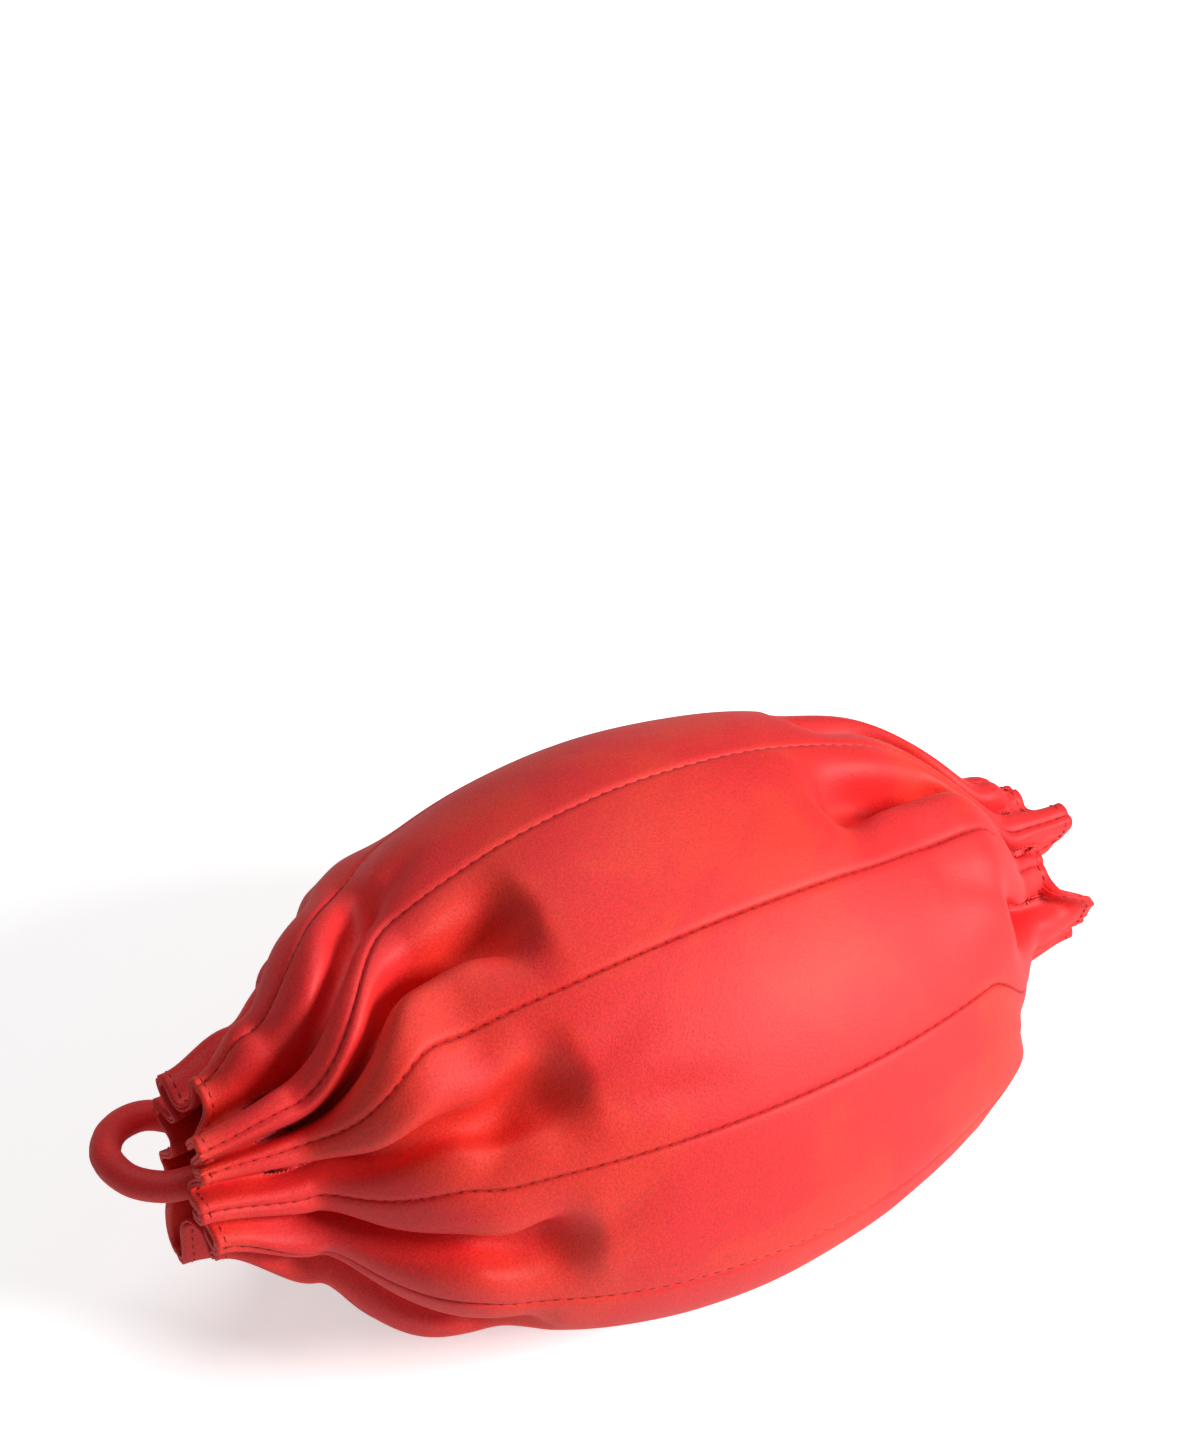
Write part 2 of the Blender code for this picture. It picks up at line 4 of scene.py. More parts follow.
import bpy
import numpy as np
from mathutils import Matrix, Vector


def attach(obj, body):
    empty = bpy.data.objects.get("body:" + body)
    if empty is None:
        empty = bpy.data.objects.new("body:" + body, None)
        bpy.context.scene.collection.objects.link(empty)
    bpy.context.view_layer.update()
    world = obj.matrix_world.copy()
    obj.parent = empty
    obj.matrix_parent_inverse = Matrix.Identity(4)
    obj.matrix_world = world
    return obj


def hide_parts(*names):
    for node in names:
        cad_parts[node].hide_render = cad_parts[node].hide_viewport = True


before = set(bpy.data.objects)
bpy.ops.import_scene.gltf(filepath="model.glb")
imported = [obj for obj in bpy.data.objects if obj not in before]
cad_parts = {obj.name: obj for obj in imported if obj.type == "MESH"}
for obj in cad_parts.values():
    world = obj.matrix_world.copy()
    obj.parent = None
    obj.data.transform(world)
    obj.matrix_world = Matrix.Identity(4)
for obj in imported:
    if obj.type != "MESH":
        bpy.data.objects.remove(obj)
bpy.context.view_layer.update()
print("frame loaded")


# Camera: where the photographer stood, in metres and degrees

cameraView = {"location": (-0.3181, -0.5438, 0.7164), "azimuth": -29.17, "elevation": 40.58, "lens": 81.85}


def makeCamera():
    camera = bpy.data.objects.new("camera", bpy.data.cameras.new("camera"))
    bpy.context.collection.objects.link(camera)
    camera.location = cameraView["location"]
    camera.rotation_euler = (
        math.radians(90 - cameraView["elevation"]),
        0,
        math.radians(cameraView["azimuth"]),
    )
    camera.data.lens = cameraView["lens"]
    camera.data.sensor_width = 36
    camera.data.clip_start = 0.01
    bpy.context.scene.camera = camera


makeCamera()


# Small helpers

def smooth(x, start, end):
    t = np.clip((np.asarray(x, float) - start) / (end - start), 0, 1)
    return t * t * (3 - 2 * t)


def hermite(x, start, end):
    x0, y0, s0 = start
    x1, y1, s1 = end
    run = x1 - x0
    t = np.clip((x - x0) / run, 0, 1)
    low = y0 * (2 * t**3 - 3 * t**2 + 1) + s0 * run * (t**3 - 2 * t**2 + t)
    return low + y1 * (3 * t**2 - 2 * t**3) + s1 * run * (t**3 - t**2)


def meshPiece(name, points, faces, material, body="bag", uv=None):
    mesh = bpy.data.meshes.new(name)
    mesh.from_pydata(np.asarray(points, float).tolist(), [], faces)
    if uv is not None:
        layer = mesh.uv_layers.new(name="cloth")
        corners = np.empty(len(mesh.loops), dtype=np.int32)
        mesh.loops.foreach_get("vertex_index", corners)
        layer.data.foreach_set("uv", np.asarray(uv, float)[corners].ravel())
    mesh.shade_smooth()
    mesh.materials.append(material)
    piece = bpy.data.objects.new(name, mesh)
    bpy.context.collection.objects.link(piece)
    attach(piece, body)
    return piece


def gridFaces(rows, columns, closed=False):
    faces = []
    for i in range(rows - 1):
        for j in range(columns if closed else columns - 1):
            k = (j + 1) % columns
            faces.append((i * columns + j, i * columns + k, (i + 1) * columns + k, (i + 1) * columns + j))
    return faces


def addThickness(piece, thickness, offset=-1.0):
    solid = piece.modifiers.new("thickness", "SOLIDIFY")
    solid.thickness = thickness
    solid.offset = offset
    solid.use_even_offset = False
    return solid


# Materials

def makeGroup(name, inputs, outputs):
    group = bpy.data.node_groups.new(name, "ShaderNodeTree")
    for label, kind, value in inputs:
        socket = group.interface.new_socket(label, in_out="INPUT", socket_type=kind)
        socket.default_value = value
    for label, kind in outputs:
        group.interface.new_socket(label, in_out="OUTPUT", socket_type=kind)
    return group, group.nodes.new("NodeGroupInput"), group.nodes.new("NodeGroupOutput")


def makeGrainGroup():
    group, given, result = makeGroup(
        "satin grain",
        [("Scale", "NodeSocketFloat", 1.0), ("Slub", "NodeSocketFloat", 0.5)],
        [("Height", "NodeSocketFloat"), ("Speckle", "NodeSocketFloat")],
    )
    nodes, links = group.nodes, group.links
    place = nodes.new("ShaderNodeTexCoord")
    size = nodes.new("ShaderNodeVectorMath")
    size.operation = "SCALE"
    links.new(place.outputs["Object"], size.inputs[0])
    links.new(given.outputs["Scale"], size.inputs["Scale"])
    fine = nodes.new("ShaderNodeTexNoise")
    fine.inputs["Scale"].default_value = 1500
    fine.inputs["Detail"].default_value = 3
    fine.inputs["Roughness"].default_value = 0.7
    links.new(size.outputs[0], fine.inputs["Vector"])
    soft = nodes.new("ShaderNodeTexNoise")
    soft.inputs["Scale"].default_value = 260
    soft.inputs["Detail"].default_value = 2
    links.new(size.outputs[0], soft.inputs["Vector"])
    slub = nodes.new("ShaderNodeMath")
    slub.operation = "MULTIPLY"
    links.new(soft.outputs["Fac"], slub.inputs[0])
    links.new(given.outputs["Slub"], slub.inputs[1])
    total = nodes.new("ShaderNodeMath")
    links.new(fine.outputs["Fac"], total.inputs[0])
    links.new(slub.outputs[0], total.inputs[1])
    links.new(total.outputs[0], result.inputs["Height"])
    links.new(fine.outputs["Fac"], result.inputs["Speckle"])
    return group


def makeDyeGroup():
    group, given, result = makeGroup(
        "cloudy dye",
        [
            ("Ground", "NodeSocketColor", (1, 1, 1, 1)),
            ("Cloud", "NodeSocketColor", (1, 1, 1, 1)),
            ("Amount", "NodeSocketFloat", 0.5),
            ("Speckle", "NodeSocketFloat", 0.5),
            ("Speckle Amount", "NodeSocketFloat", 0.1),
        ],
        [("Color", "NodeSocketColor")],
    )
    nodes, links = group.nodes, group.links
    place = nodes.new("ShaderNodeTexCoord")
    clouds = nodes.new("ShaderNodeTexNoise")
    clouds.inputs["Scale"].default_value = 24
    clouds.inputs["Detail"].default_value = 3.5
    clouds.inputs["Roughness"].default_value = 0.55
    clouds.inputs["Distortion"].default_value = 0.6
    links.new(place.outputs["Object"], clouds.inputs["Vector"])
    edge = nodes.new("ShaderNodeMapRange")
    edge.interpolation_type = "SMOOTHSTEP"
    edge.inputs["From Min"].default_value = 0.46
    edge.inputs["From Max"].default_value = 0.62
    links.new(clouds.outputs["Fac"], edge.inputs["Value"])
    weight = nodes.new("ShaderNodeMath")
    weight.operation = "MULTIPLY"
    links.new(edge.outputs["Result"], weight.inputs[0])
    links.new(given.outputs["Amount"], weight.inputs[1])
    tint = nodes.new("ShaderNodeMix")
    tint.data_type = "RGBA"
    links.new(weight.outputs[0], tint.inputs["Factor"])
    links.new(given.outputs["Ground"], tint.inputs["A"])
    links.new(given.outputs["Cloud"], tint.inputs["B"])
    lift = nodes.new("ShaderNodeMath")
    lift.operation = "SUBTRACT"
    lift.inputs[1].default_value = 0.5
    links.new(given.outputs["Speckle"], lift.inputs[0])
    grain = nodes.new("ShaderNodeMath")
    grain.operation = "MULTIPLY_ADD"
    grain.inputs[2].default_value = 1.0
    links.new(lift.outputs[0], grain.inputs[0])
    links.new(given.outputs["Speckle Amount"], grain.inputs[1])
    shade = nodes.new("ShaderNodeVectorMath")
    shade.operation = "SCALE"
    links.new(tint.outputs["Result"], shade.inputs[0])
    links.new(grain.outputs[0], shade.inputs["Scale"])
    links.new(shade.outputs[0], result.inputs["Color"])
    return group


grainGroup = makeGrainGroup()
dyeGroup = makeDyeGroup()


def makeCloth(name, look):
    material = bpy.data.materials.new(name)
    material.use_nodes = True
    nodes, links = material.node_tree.nodes, material.node_tree.links
    shader = nodes["Principled BSDF"]
    shader.inputs["Roughness"].default_value = look["roughness"]
    shader.inputs["Sheen Weight"].default_value = look["sheen"]
    shader.inputs["Sheen Roughness"].default_value = 0.45
    shader.inputs["Sheen Tint"].default_value = (*look["sheenTint"], 1)
    shader.inputs["Specular IOR Level"].default_value = look["specular"]
    grain = nodes.new("ShaderNodeGroup")
    grain.node_tree = grainGroup
    grain.inputs["Scale"].default_value = look["grainScale"]
    grain.inputs["Slub"].default_value = look["slub"]
    dye = nodes.new("ShaderNodeGroup")
    dye.node_tree = dyeGroup
    dye.inputs["Ground"].default_value = (*look["ground"], 1)
    dye.inputs["Cloud"].default_value = (*look["cloud"], 1)
    dye.inputs["Amount"].default_value = look["cloudAmount"]
    dye.inputs["Speckle Amount"].default_value = look["speckle"]
    links.new(grain.outputs["Speckle"], dye.inputs["Speckle"])
    links.new(dye.outputs["Color"], shader.inputs["Base Color"])
    bump = nodes.new("ShaderNodeBump")
    bump.inputs["Strength"].default_value = look["bump"]
    bump.inputs["Distance"].default_value = 0.0003
    links.new(grain.outputs["Height"], bump.inputs["Height"])
    links.new(bump.outputs["Normal"], shader.inputs["Normal"])
    return material


satinLook = {
    "ground": (0.82, 0.018, 0.019), "cloud": (0.90, 0.052, 0.016), "cloudAmount": 0.42,
    "roughness": 0.58, "sheen": 0.06, "sheenTint": (1.0, 0.40, 0.40), "specular": 0.50,
    "grainScale": 1.0, "slub": 0.6, "speckle": 1.10, "bump": 0.50,
}
plainLook = satinLook | {"cloudAmount": 0.0, "sheen": 0.1, "bump": 0.5}
liningLook = {"ground": (0.52, 0.030, 0.032), "roughness": 0.6}
tapeLook = {"ground": (0.56, 0.030, 0.032), "roughness": 0.75}
threadLook = {"ground": (0.46, 0.008, 0.012), "roughness": 0.6}
paleThreadLook = {"ground": (0.70, 0.035, 0.040), "sheen": 0.2, "roughness": 0.55}
nylonLook = {"ground": (0.45, 0.018, 0.022), "sheen": 0.0, "roughness": 0.38, "bump": 0.1}
tubeLook = {"ground": (0.80, 0.020, 0.022), "cloudAmount": 0.25, "bump": 0.35}

satin = makeCloth("red satin", satinLook)
liningCloth = makeCloth("red lining", plainLook | liningLook)
tapeCloth = makeCloth("zip tape", plainLook | tapeLook)
thread = makeCloth("red thread", plainLook | threadLook)
paleThread = makeCloth("bright red thread", plainLook | paleThreadLook)
nylon = makeCloth("red nylon", plainLook | nylonLook)
tubeSatin = makeCloth("strap satin", satinLook | tubeLook)


def makeMetal():
    material = bpy.data.materials.new("zip metal")
    material.use_nodes = True
    nodes, links = material.node_tree.nodes, material.node_tree.links
    shader = nodes["Principled BSDF"]
    shader.inputs["Metallic"].default_value = 1.0
    wear = nodes.new("ShaderNodeTexNoise")
    wear.inputs["Scale"].default_value = 900
    wear.inputs["Detail"].default_value = 4
    tone = nodes.new("ShaderNodeMapRange")
    tone.inputs["To Min"].default_value = 0.22
    tone.inputs["To Max"].default_value = 0.40
    links.new(wear.outputs["Fac"], tone.inputs["Value"])
    links.new(tone.outputs["Result"], shader.inputs["Roughness"])
    colour = nodes.new("ShaderNodeMix")
    colour.data_type = "RGBA"
    colour.inputs["A"].default_value = (0.52, 0.52, 0.53, 1)
    colour.inputs["B"].default_value = (0.62, 0.61, 0.60, 1)
    links.new(wear.outputs["Fac"], colour.inputs["Factor"])
    links.new(colour.outputs["Result"], shader.inputs["Base Color"])
    return material


metal = makeMetal()


# The bag's form. Angles round the bag start at the top and grow towards the front.

bag = {
    "gores": 10, "firstSeamDeg": -8.0, "bodyRadius": 0.080, "profileArc": 0.174, "arcEndX": 0.070,
    "axisHeight": 0.068, "ringX": 0.113, "ruffleEndX": 0.135, "zipSeam": 8, "cloth": 0.0010,
    "slitHalfX": 0.068, "slitHalfWidth": 0.0040, "slitColumns": 8, "slitEase": 0.003,
    "seamDepth": 0.0007, "seamWidth": 0.0009, "seamColumns": 6,
}
# A ridge from the plain body to the gather's neck and on to the ruffle's tip
ridgeShape = {
    "shoulderBack": 0.009, "shoulderRise": 0.006, "shoulderSlope": -1.15, "neckBack": 0.001,
    "tipSlope": 0.05, "swellStart": 0.066, "swellLength": 0.049,
}
# Half a gore, from its seam to its fold: share of the width and share of the fold's depth,
# where it is round, where it is folded and in the ruffle's tabs
halfGore = [
    (0.0, 0.0, 0.0, 0.0, 0.0, 0.0), (0.15, 0.24, 0.12, -0.02, 0.18, 0.02),
    (0.27, 0.38, 0.45, 0.22, 0.31, 0.28), (0.38, 0.37, 0.82, 0.90, 0.37, 0.88),
]
spread = [7, 5, 5, 5, 5, 5, 5, 7]  # mesh columns between the points of a gore
# Buttonholes, by gore and end where one gapes more or less than the others
hole = {
    "length": 0.015, "halfWidth": 0.0040, "columns": 5, "roomShare": 0.85,
    "others": {(2, -1): 0.0062, (8, -1): 0.0055, (1, 1): 0.0004, (0, 1): 0.0012},
}
foldSeat = {"edge": 0.0165, "others": {(1, 1): 0.0285}}  # a fold's radius at the ruffle's edge

# For each seam, at each end: its angle at the gather and at the ruffle's edge, its ridge's
# radius at both, how far the ruffle's edge stands out, how much the shoulder bulges and
# where the seam starts to turn
leftRidges = [
    (33, 36, 0.035, 0.029, 0.002, 0.003, 0.070),
    (50, 47, 0.030, 0.027, 0.003, 0.009, 0.076),
    (80, 68, 0.029, 0.026, 0.006, 0.003, 0.080),
    (116, 100, 0.034, 0.026, 0.003, 0.004, 0.080),
    (146, 140, 0.042, 0.026, 0.001, 0.005, 0.080),
    (182, 184, 0.042, 0.034, 0.005, 0.010, 0.080),
    (222, 228, 0.032, 0.028, 0.000, 0.004, 0.080),
    (262, 264, 0.030, 0.028, -0.002, 0.000, 0.080),
    (300, 302, 0.031, 0.026, -0.002, -0.002, 0.080),
    (352, 352, 0.036, 0.026, -0.006, 0.004, 0.050),
]
rightRidges = [
    (28, 28, 0.028, 0.026, -0.005, 0.000, 0.084),
    (50, 56, 0.024, 0.018, -0.014, 0.011, 0.088),
    (108, 108, 0.029, 0.026, -0.005, 0.000, 0.072),
    (142, 142, 0.030, 0.028, -0.004, 0.004, 0.080),
    (170, 170, 0.028, 0.028, -0.005, 0.002, 0.080),
    (198, 198, 0.028, 0.028, -0.005, 0.000, 0.080),
    (228, 228, 0.028, 0.028, -0.006, 0.000, 0.080),
    (254, 254, 0.028, 0.026, -0.008, 0.000, 0.080),
    (286, 286, 0.028, 0.024, -0.016, 0.002, 0.080),
    (342, 342, 0.028, 0.022, -0.011, 0.004, 0.080),
]
# For each gore, at each end: where its fold starts, how deep it is, how far it leans to one
# side, and how much the gore puffs out before it
leftFolds = [
    (0.040, 0.0230, -0.26, 0.002),
    (0.046, 0.0160, 0.12, 0.001),
    (0.052, 0.0160, 0.14, 0.001),
    (0.060, 0.0110, 0.00, 0.002),
    (0.064, 0.0120, 0.00, 0.003),
    (0.060, 0.0130, 0.00, 0.001),
    (0.056, 0.0130, 0.00, 0.001),
    (0.066, 0.0120, 0.00, 0.002),
    (0.074, 0.0120, 0.00, 0.012),
    (0.066, 0.0120, 0.20, 0.003),
]
rightFolds = [
    (0.042, 0.0230, -0.24, 0.003),
    (0.084, 0.0200, 0.00, 0.006),
    (0.084, 0.0120, 0.00, 0.003),
    (0.070, 0.0120, 0.00, 0.002),
    (0.060, 0.0130, 0.00, 0.001),
    (0.056, 0.0130, 0.00, 0.001),
    (0.058, 0.0130, 0.00, 0.001),
    (0.066, 0.0120, 0.00, 0.001),
    (0.070, 0.0120, 0.00, 0.002),
    (0.056, 0.0130, 0.00, 0.002),
]
ends = {
    -1: {"ridges": leftRidges, "folds": leftFolds, "lift": 0.010, "back": 0.003},
    1: {"ridges": rightRidges, "folds": rightFolds, "lift": 0.006, "back": 0.000},
}


def arcRadius(x):
    return bag["bodyRadius"] - bag["profileArc"] + np.sqrt(bag["profileArc"] ** 2 - x * x)


def ridgeRadius(reach, ridge):
    ringX, endX = bag["ringX"], bag["arcEndX"]
    slope = -endX / math.sqrt(bag["profileArc"] ** 2 - endX**2)
    shape = ridgeShape
    shoulder = (ringX - shape["shoulderBack"], ridge[2] + shape["shoulderRise"], shape["shoulderSlope"])
    neck = (ringX - shape["neckBack"], ridge[2], 0.0)
    tip = (bag["ruffleEndX"], ridge[3], shape["tipSlope"])
    radius = np.where(reach <= endX, arcRadius(np.minimum(reach, endX)), 0)
    radius = np.where(reach > endX, hermite(reach, (endX, arcRadius(endX), slope), shoulder), radius)
    radius = np.where(reach > shoulder[0], hermite(reach, shoulder, neck), radius)
    radius = np.where(reach > neck[0], hermite(reach, neck, tip), radius)
    t = np.clip((reach - shape["swellStart"]) / shape["swellLength"], 0, 1)
    return radius + ridge[5] * np.sin(math.pi * t) ** 2


def seamDegrees(index):
    return bag["firstSeamDeg"] + 36.0 * index


gatherRing = {"radius": 0.0145, "tube": 0.0084, "lift": 0.008, "gap": 0.0003}


def tubeSeat():
    return gatherRing["radius"] + gatherRing["tube"] / 2 + gatherRing["gap"] + bag["cloth"]


# How a fold forms on its way to the gather, in metres along the bag
fold = {
    "lastStart": 0.072, "run": 0.030, "formedBeforeRing": 0.006, "firstShare": 0.60, "firstRun": 0.013,
    "fullBeforeRing": 0.014, "closesBeforeRing": 0.016, "closedBeforeRing": 0.005, "flareAfterRing": 0.006,
    "puffBefore": 0.03, "puffRun": 0.05, "leanRun": 0.02, "leanLost": 0.6,
    "tabBeforeRing": 0.004, "tabAfterRing": 0.010, "edgeDip": 0.001,
}
# How much flatter the bag lies on each side of its underside
settling = {
    "depth": 0.0028, "degrees": (142, 218), "spreadDeg": 26, "leftFrom": 0.02, "leftTo": 0.07,
    "fadeFrom": 0.08, "fadeTo": 0.105, "fade": 1.6,
}


def seamsAt(reach, ridges):
    inRuffle = float(smooth(reach, bag["ringX"], bag["ruffleEndX"]))
    angles, radii, stands = [], [], []
    for k, ridge in enumerate(ridges):
        plain = seamDegrees(k)
        turned = plain + (ridge[0] - plain) * float(smooth(reach, ridge[6], bag["ringX"]))
        angles.append(turned + (ridge[1] - ridge[0]) * inRuffle)
        radii.append(float(ridgeRadius(reach, ridge)))
        stands.append(ridge[4] * inRuffle)
    return angles, radii, stands


def foldAt(k, side, reach, middle):
    start, depth, lean, puff = ends[side]["folds"][k]
    ringX = bag["ringX"]
    formed = min(start + fold["run"], ringX - fold["formedBeforeRing"])
    folding = float(smooth(reach, min(start, fold["lastStart"]), formed))
    first = fold["firstShare"] * smooth(reach, start, start + fold["firstRun"])
    rest = (1 - fold["firstShare"]) * smooth(reach, start, ringX - fold["fullBeforeRing"])
    closing = float(smooth(reach, ringX - fold["closesBeforeRing"], ringX - fold["closedBeforeRing"]))
    seat = tubeSeat()
    edge = foldSeat["others"].get((k, side), foldSeat["edge"])
    seat += (edge - seat) * float(smooth(reach, ringX + fold["flareAfterRing"], bag["ruffleEndX"]))
    valley = (middle - depth * float(first + rest)) * (1 - closing) + seat * closing
    t = min(max((reach - start + fold["puffBefore"]) / fold["puffRun"], 0), 1)
    swell = puff * math.sin(math.pi * t) ** 2
    leaning = lean * float(smooth(reach, start, start + fold["leanRun"])) * (1 - fold["leanLost"] * closing)
    return folding, valley, swell, 0.5 + 0.5 * leaning


def settle(table, x):
    reach = abs(x)
    left = float(smooth(-x, settling["leftFrom"], settling["leftTo"]))
    fading = settling["fade"] * float(smooth(reach, settling["fadeFrom"], settling["fadeTo"]))
    depth = max(settling["depth"] * (1 + left - fading), 0)
    for belly in settling["degrees"]:
        table[:, 1] -= depth * np.exp(-(((table[:, 0] - belly) / settling["spreadDeg"]) ** 2))


def controlRing(x):
    side, reach = -1 if x < 0 else 1, abs(x)
    angles, radii, stands = seamsAt(reach, ends[side]["ridges"])
    ringX = bag["ringX"]
    tabbing = float(smooth(reach, ringX - fold["tabBeforeRing"], ringX + fold["tabAfterRing"]))
    points = []
    for k in range(bag["gores"]):
        n = (k + 1) % bag["gores"]
        a, b = angles[k], angles[n] + (360 if n == 0 else 0)
        folding, valley, swell, centre = foldAt(k, side, reach, (radii[k] + radii[n]) / 2)
        width = math.radians(b - a)
        halves = [([], a, radii[k], centre, 1), ([], b, radii[n], 1 - centre, -1)]
        for roundShare, foldedShare, sagShare, foldShare, tabShare, tabDepth in halfGore:
            foldedShare += (tabShare - foldedShare) * tabbing
            depthShare = sagShare + (foldShare - sagShare) * folding
            depthShare += (tabDepth - depthShare) * tabbing
            for half, seam, ridge, room, sign in halves:
                angle = (roundShare + (foldedShare - roundShare) * folding) * room * 2 * width
                radius = ridge + (valley - ridge) * depthShare + swell * roundShare
                half.append((seam + sign * math.degrees(angle), radius))
        bottom = (a + math.degrees(width * centre), valley + swell * 0.5)
        low = max(stands[k], stands[n]) - fold["edgeDip"]
        outline = [*halves[0][0], bottom, *halves[1][0][:0:-1]]
        for (angle, radius), stand in zip(outline, [stands[k]] * 4 + [low] + [stands[n]] * 3):
            points.append((angle, radius, stand))
    table = np.array(points)
    settle(table, x)
    lifted = float(smooth(reach, bag["arcEndX"], ringX))
    phi = np.radians(table[:, 0])
    across = ends[side]["back"] * lifted - table[:, 1] * np.sin(phi)
    height = bag["axisHeight"] + ends[side]["lift"] * lifted + table[:, 1] * np.cos(phi)
    return np.stack([x + side * table[:, 2], across, height], axis=1)


def splineWeights():
    rows = []
    count = bag["gores"] * 8
    for k in range(bag["gores"]):
        for i, steps in enumerate(spread):
            base = k * 8 + i
            for s in range(steps):
                t = s / steps
                w = np.zeros(count)
                w[(base - 1) % count] += (1 - t) ** 3 / 6
                w[base % count] += (3 * t**3 - 6 * t**2 + 4) / 6
                w[(base + 1) % count] += (-3 * t**3 + 3 * t**2 + 3 * t + 1) / 6
                w[(base + 2) % count] += t**3 / 6
                rows.append(w)
    return np.array(rows)


meshRows = {"middle": 36, "shoulder": 44, "hole": 15, "edge": 13, "middleEnd": 0.060}
floorSoftness = 0.004


def makeStations():
    holeStart, holeEnd = bag["ringX"] - hole["length"] / 2, bag["ringX"] + hole["length"] / 2
    half = list(np.linspace(0, meshRows["middleEnd"], meshRows["middle"], endpoint=False))
    half += list(np.linspace(meshRows["middleEnd"], holeStart, meshRows["shoulder"], endpoint=False))
    half += list(np.linspace(holeStart, holeEnd, meshRows["hole"], endpoint=False))
    half += list(np.linspace(holeEnd, bag["ruffleEndX"], meshRows["edge"]))
    return np.array([-x for x in half[:0:-1]] + half)


def makeSurface():
    xs = makeStations()
    weights = splineWeights()
    grid = np.stack([weights @ controlRing(x) for x in xs])
    low, soft = grid[:, :, 2], floorSoftness
    grid[:, :, 2] = np.where(low < soft, soft * np.exp(np.minimum(low - soft, 0) / soft), low)
    return xs, grid


def surfaceNormals(grid):
    along = np.gradient(grid, axis=0)
    around = (np.roll(grid, -1, axis=1) - np.roll(grid, 1, axis=1)) / 2
    normals = np.cross(along, around)
    normals /= np.linalg.norm(normals, axis=2)[:, :, None] + 1e-12
    outward = grid - grid.mean(axis=1)[:, None, :]
    if (normals * outward).sum() < 0:
        normals = -normals
    return normals


stationX, surface = makeSurface()
normals = surfaceNormals(surface)
goreColumns = sum(spread)
print("bag surface", surface.shape)


# Soft wrinkles: start and end as (x, degrees round the bag), width, depth
wrinkles = [
    ((-0.030, 40), (-0.062, 47), 0.0050, 0.0010),
    ((-0.018, 55), (-0.060, 50), 0.0045, 0.0014),
    ((-0.050, 12), (-0.088, 16), 0.0040, -0.0020),
    ((-0.056, 38), (-0.078, 60), 0.0055, 0.0022),
    ((-0.040, 74), (-0.070, 84), 0.0060, 0.0016),
    ((-0.058, -22), (-0.085, -12), 0.0045, 0.0016),
    ((-0.062, -62), (-0.095, -40), 0.0060, 0.0020),
    ((0.030, 92), (0.080, 96), 0.0080, -0.0008),
    ((0.070, 36), (0.092, 44), 0.0050, 0.0010),
    ((0.046, 118), (0.085, 122), 0.0070, 0.0012),
    ((-0.066, 118), (-0.100, 128), 0.0060, 0.0018),
    ((0.020, 8), (0.060, 14), 0.0100, 0.0010),
    ((-0.060, 200), (-0.095, 206), 0.0060, 0.0018),
    ((0.060, 226), (0.095, 238), 0.0060, 0.0018),
    ((0.050, 300), (0.090, 312), 0.0060, 0.0018),
    ((-0.040, 254), (-0.085, 262), 0.0060, 0.0014),
]
wrinkleRadius = 0.068  # turns degrees round the bag into metres


def addWrinkles(grid, normals):
    phi = np.degrees(np.arctan2(-grid[:, :, 1], grid[:, :, 2] - bag["axisHeight"]))
    shaped = grid.copy()
    for (xa, da), (xb, db), width, depth in wrinkles:
        turn = (phi - da + 180) % 360 - 180
        reach = np.radians(turn) * wrinkleRadius
        run = np.array([xb - xa, math.radians(db - da) * wrinkleRadius])
        length = np.linalg.norm(run)
        run /= length
        dx = grid[:, :, 0] - xa
        along = dx * run[0] + reach * run[1]
        off = dx * run[1] - reach * run[0]
        fade = smooth(along, -0.3 * length, 0.35 * length) * (1 - smooth(along, 0.65 * length, 1.3 * length))
        shaped -= normals * (depth * fade * np.exp(-((off / width) ** 2)))[:, :, None]
    low = np.minimum(shaped[:, :, 2], 0)
    shaped[:, :, 2] -= low
    return shaped


ripple = {"seed": 7, "waves": 26, "along": 190, "around": 13, "height": 0.0000325, "moreAtEnds": 0.5}
fullTurn = 6.28


def softRipples(grid, normals):
    rng = np.random.default_rng(ripple["seed"])
    along, around = ripple["along"], ripple["around"]
    xs, phi = grid[:, :, 0], np.arctan2(-grid[:, :, 1], grid[:, :, 2] - bag["axisHeight"])
    total = np.zeros_like(xs)
    for _ in range(ripple["waves"]):
        fx, fp = rng.uniform(-along, along), rng.integers(-around, around + 1)
        total += np.sin(fx * xs + fp * phi + rng.uniform(0, fullTurn)) * rng.uniform(0.3, 1.0)
    strength = ripple["height"] * (1 + ripple["moreAtEnds"] * smooth(np.abs(xs), 0.05, 0.12))
    shaped = grid + normals * (total * strength)[:, :, None]
    shaped[:, :, 2] = np.maximum(shaped[:, :, 2], 0)
    return shaped


def seamGroove(grid, normals):
    shaped = grid.copy()
    total = grid.shape[1]
    for k in range(bag["gores"]):
        c = k * goreColumns
        for j in range(-bag["seamColumns"], bag["seamColumns"] + 1):
            column = (c + j) % total
            distance = np.linalg.norm(grid[:, column] - grid[:, c], axis=1)
            depth = bag["seamDepth"] * np.exp(-((distance / bag["seamWidth"]) ** 2))
            shaped[:, column] -= normals[:, column] * depth[:, None]
    return shaped


surface = addWrinkles(surface, normals)
surface = softRipples(surface, surfaceNormals(surface))
surface = seamGroove(surface, surfaceNormals(surface))
normals = surfaceNormals(surface)


def goreGrid(k):
    total = surface.shape[1]
    columns = [(k * goreColumns + j) % total for j in range(goreColumns + 1)]
    return surface[:, columns].copy(), normals[:, columns]


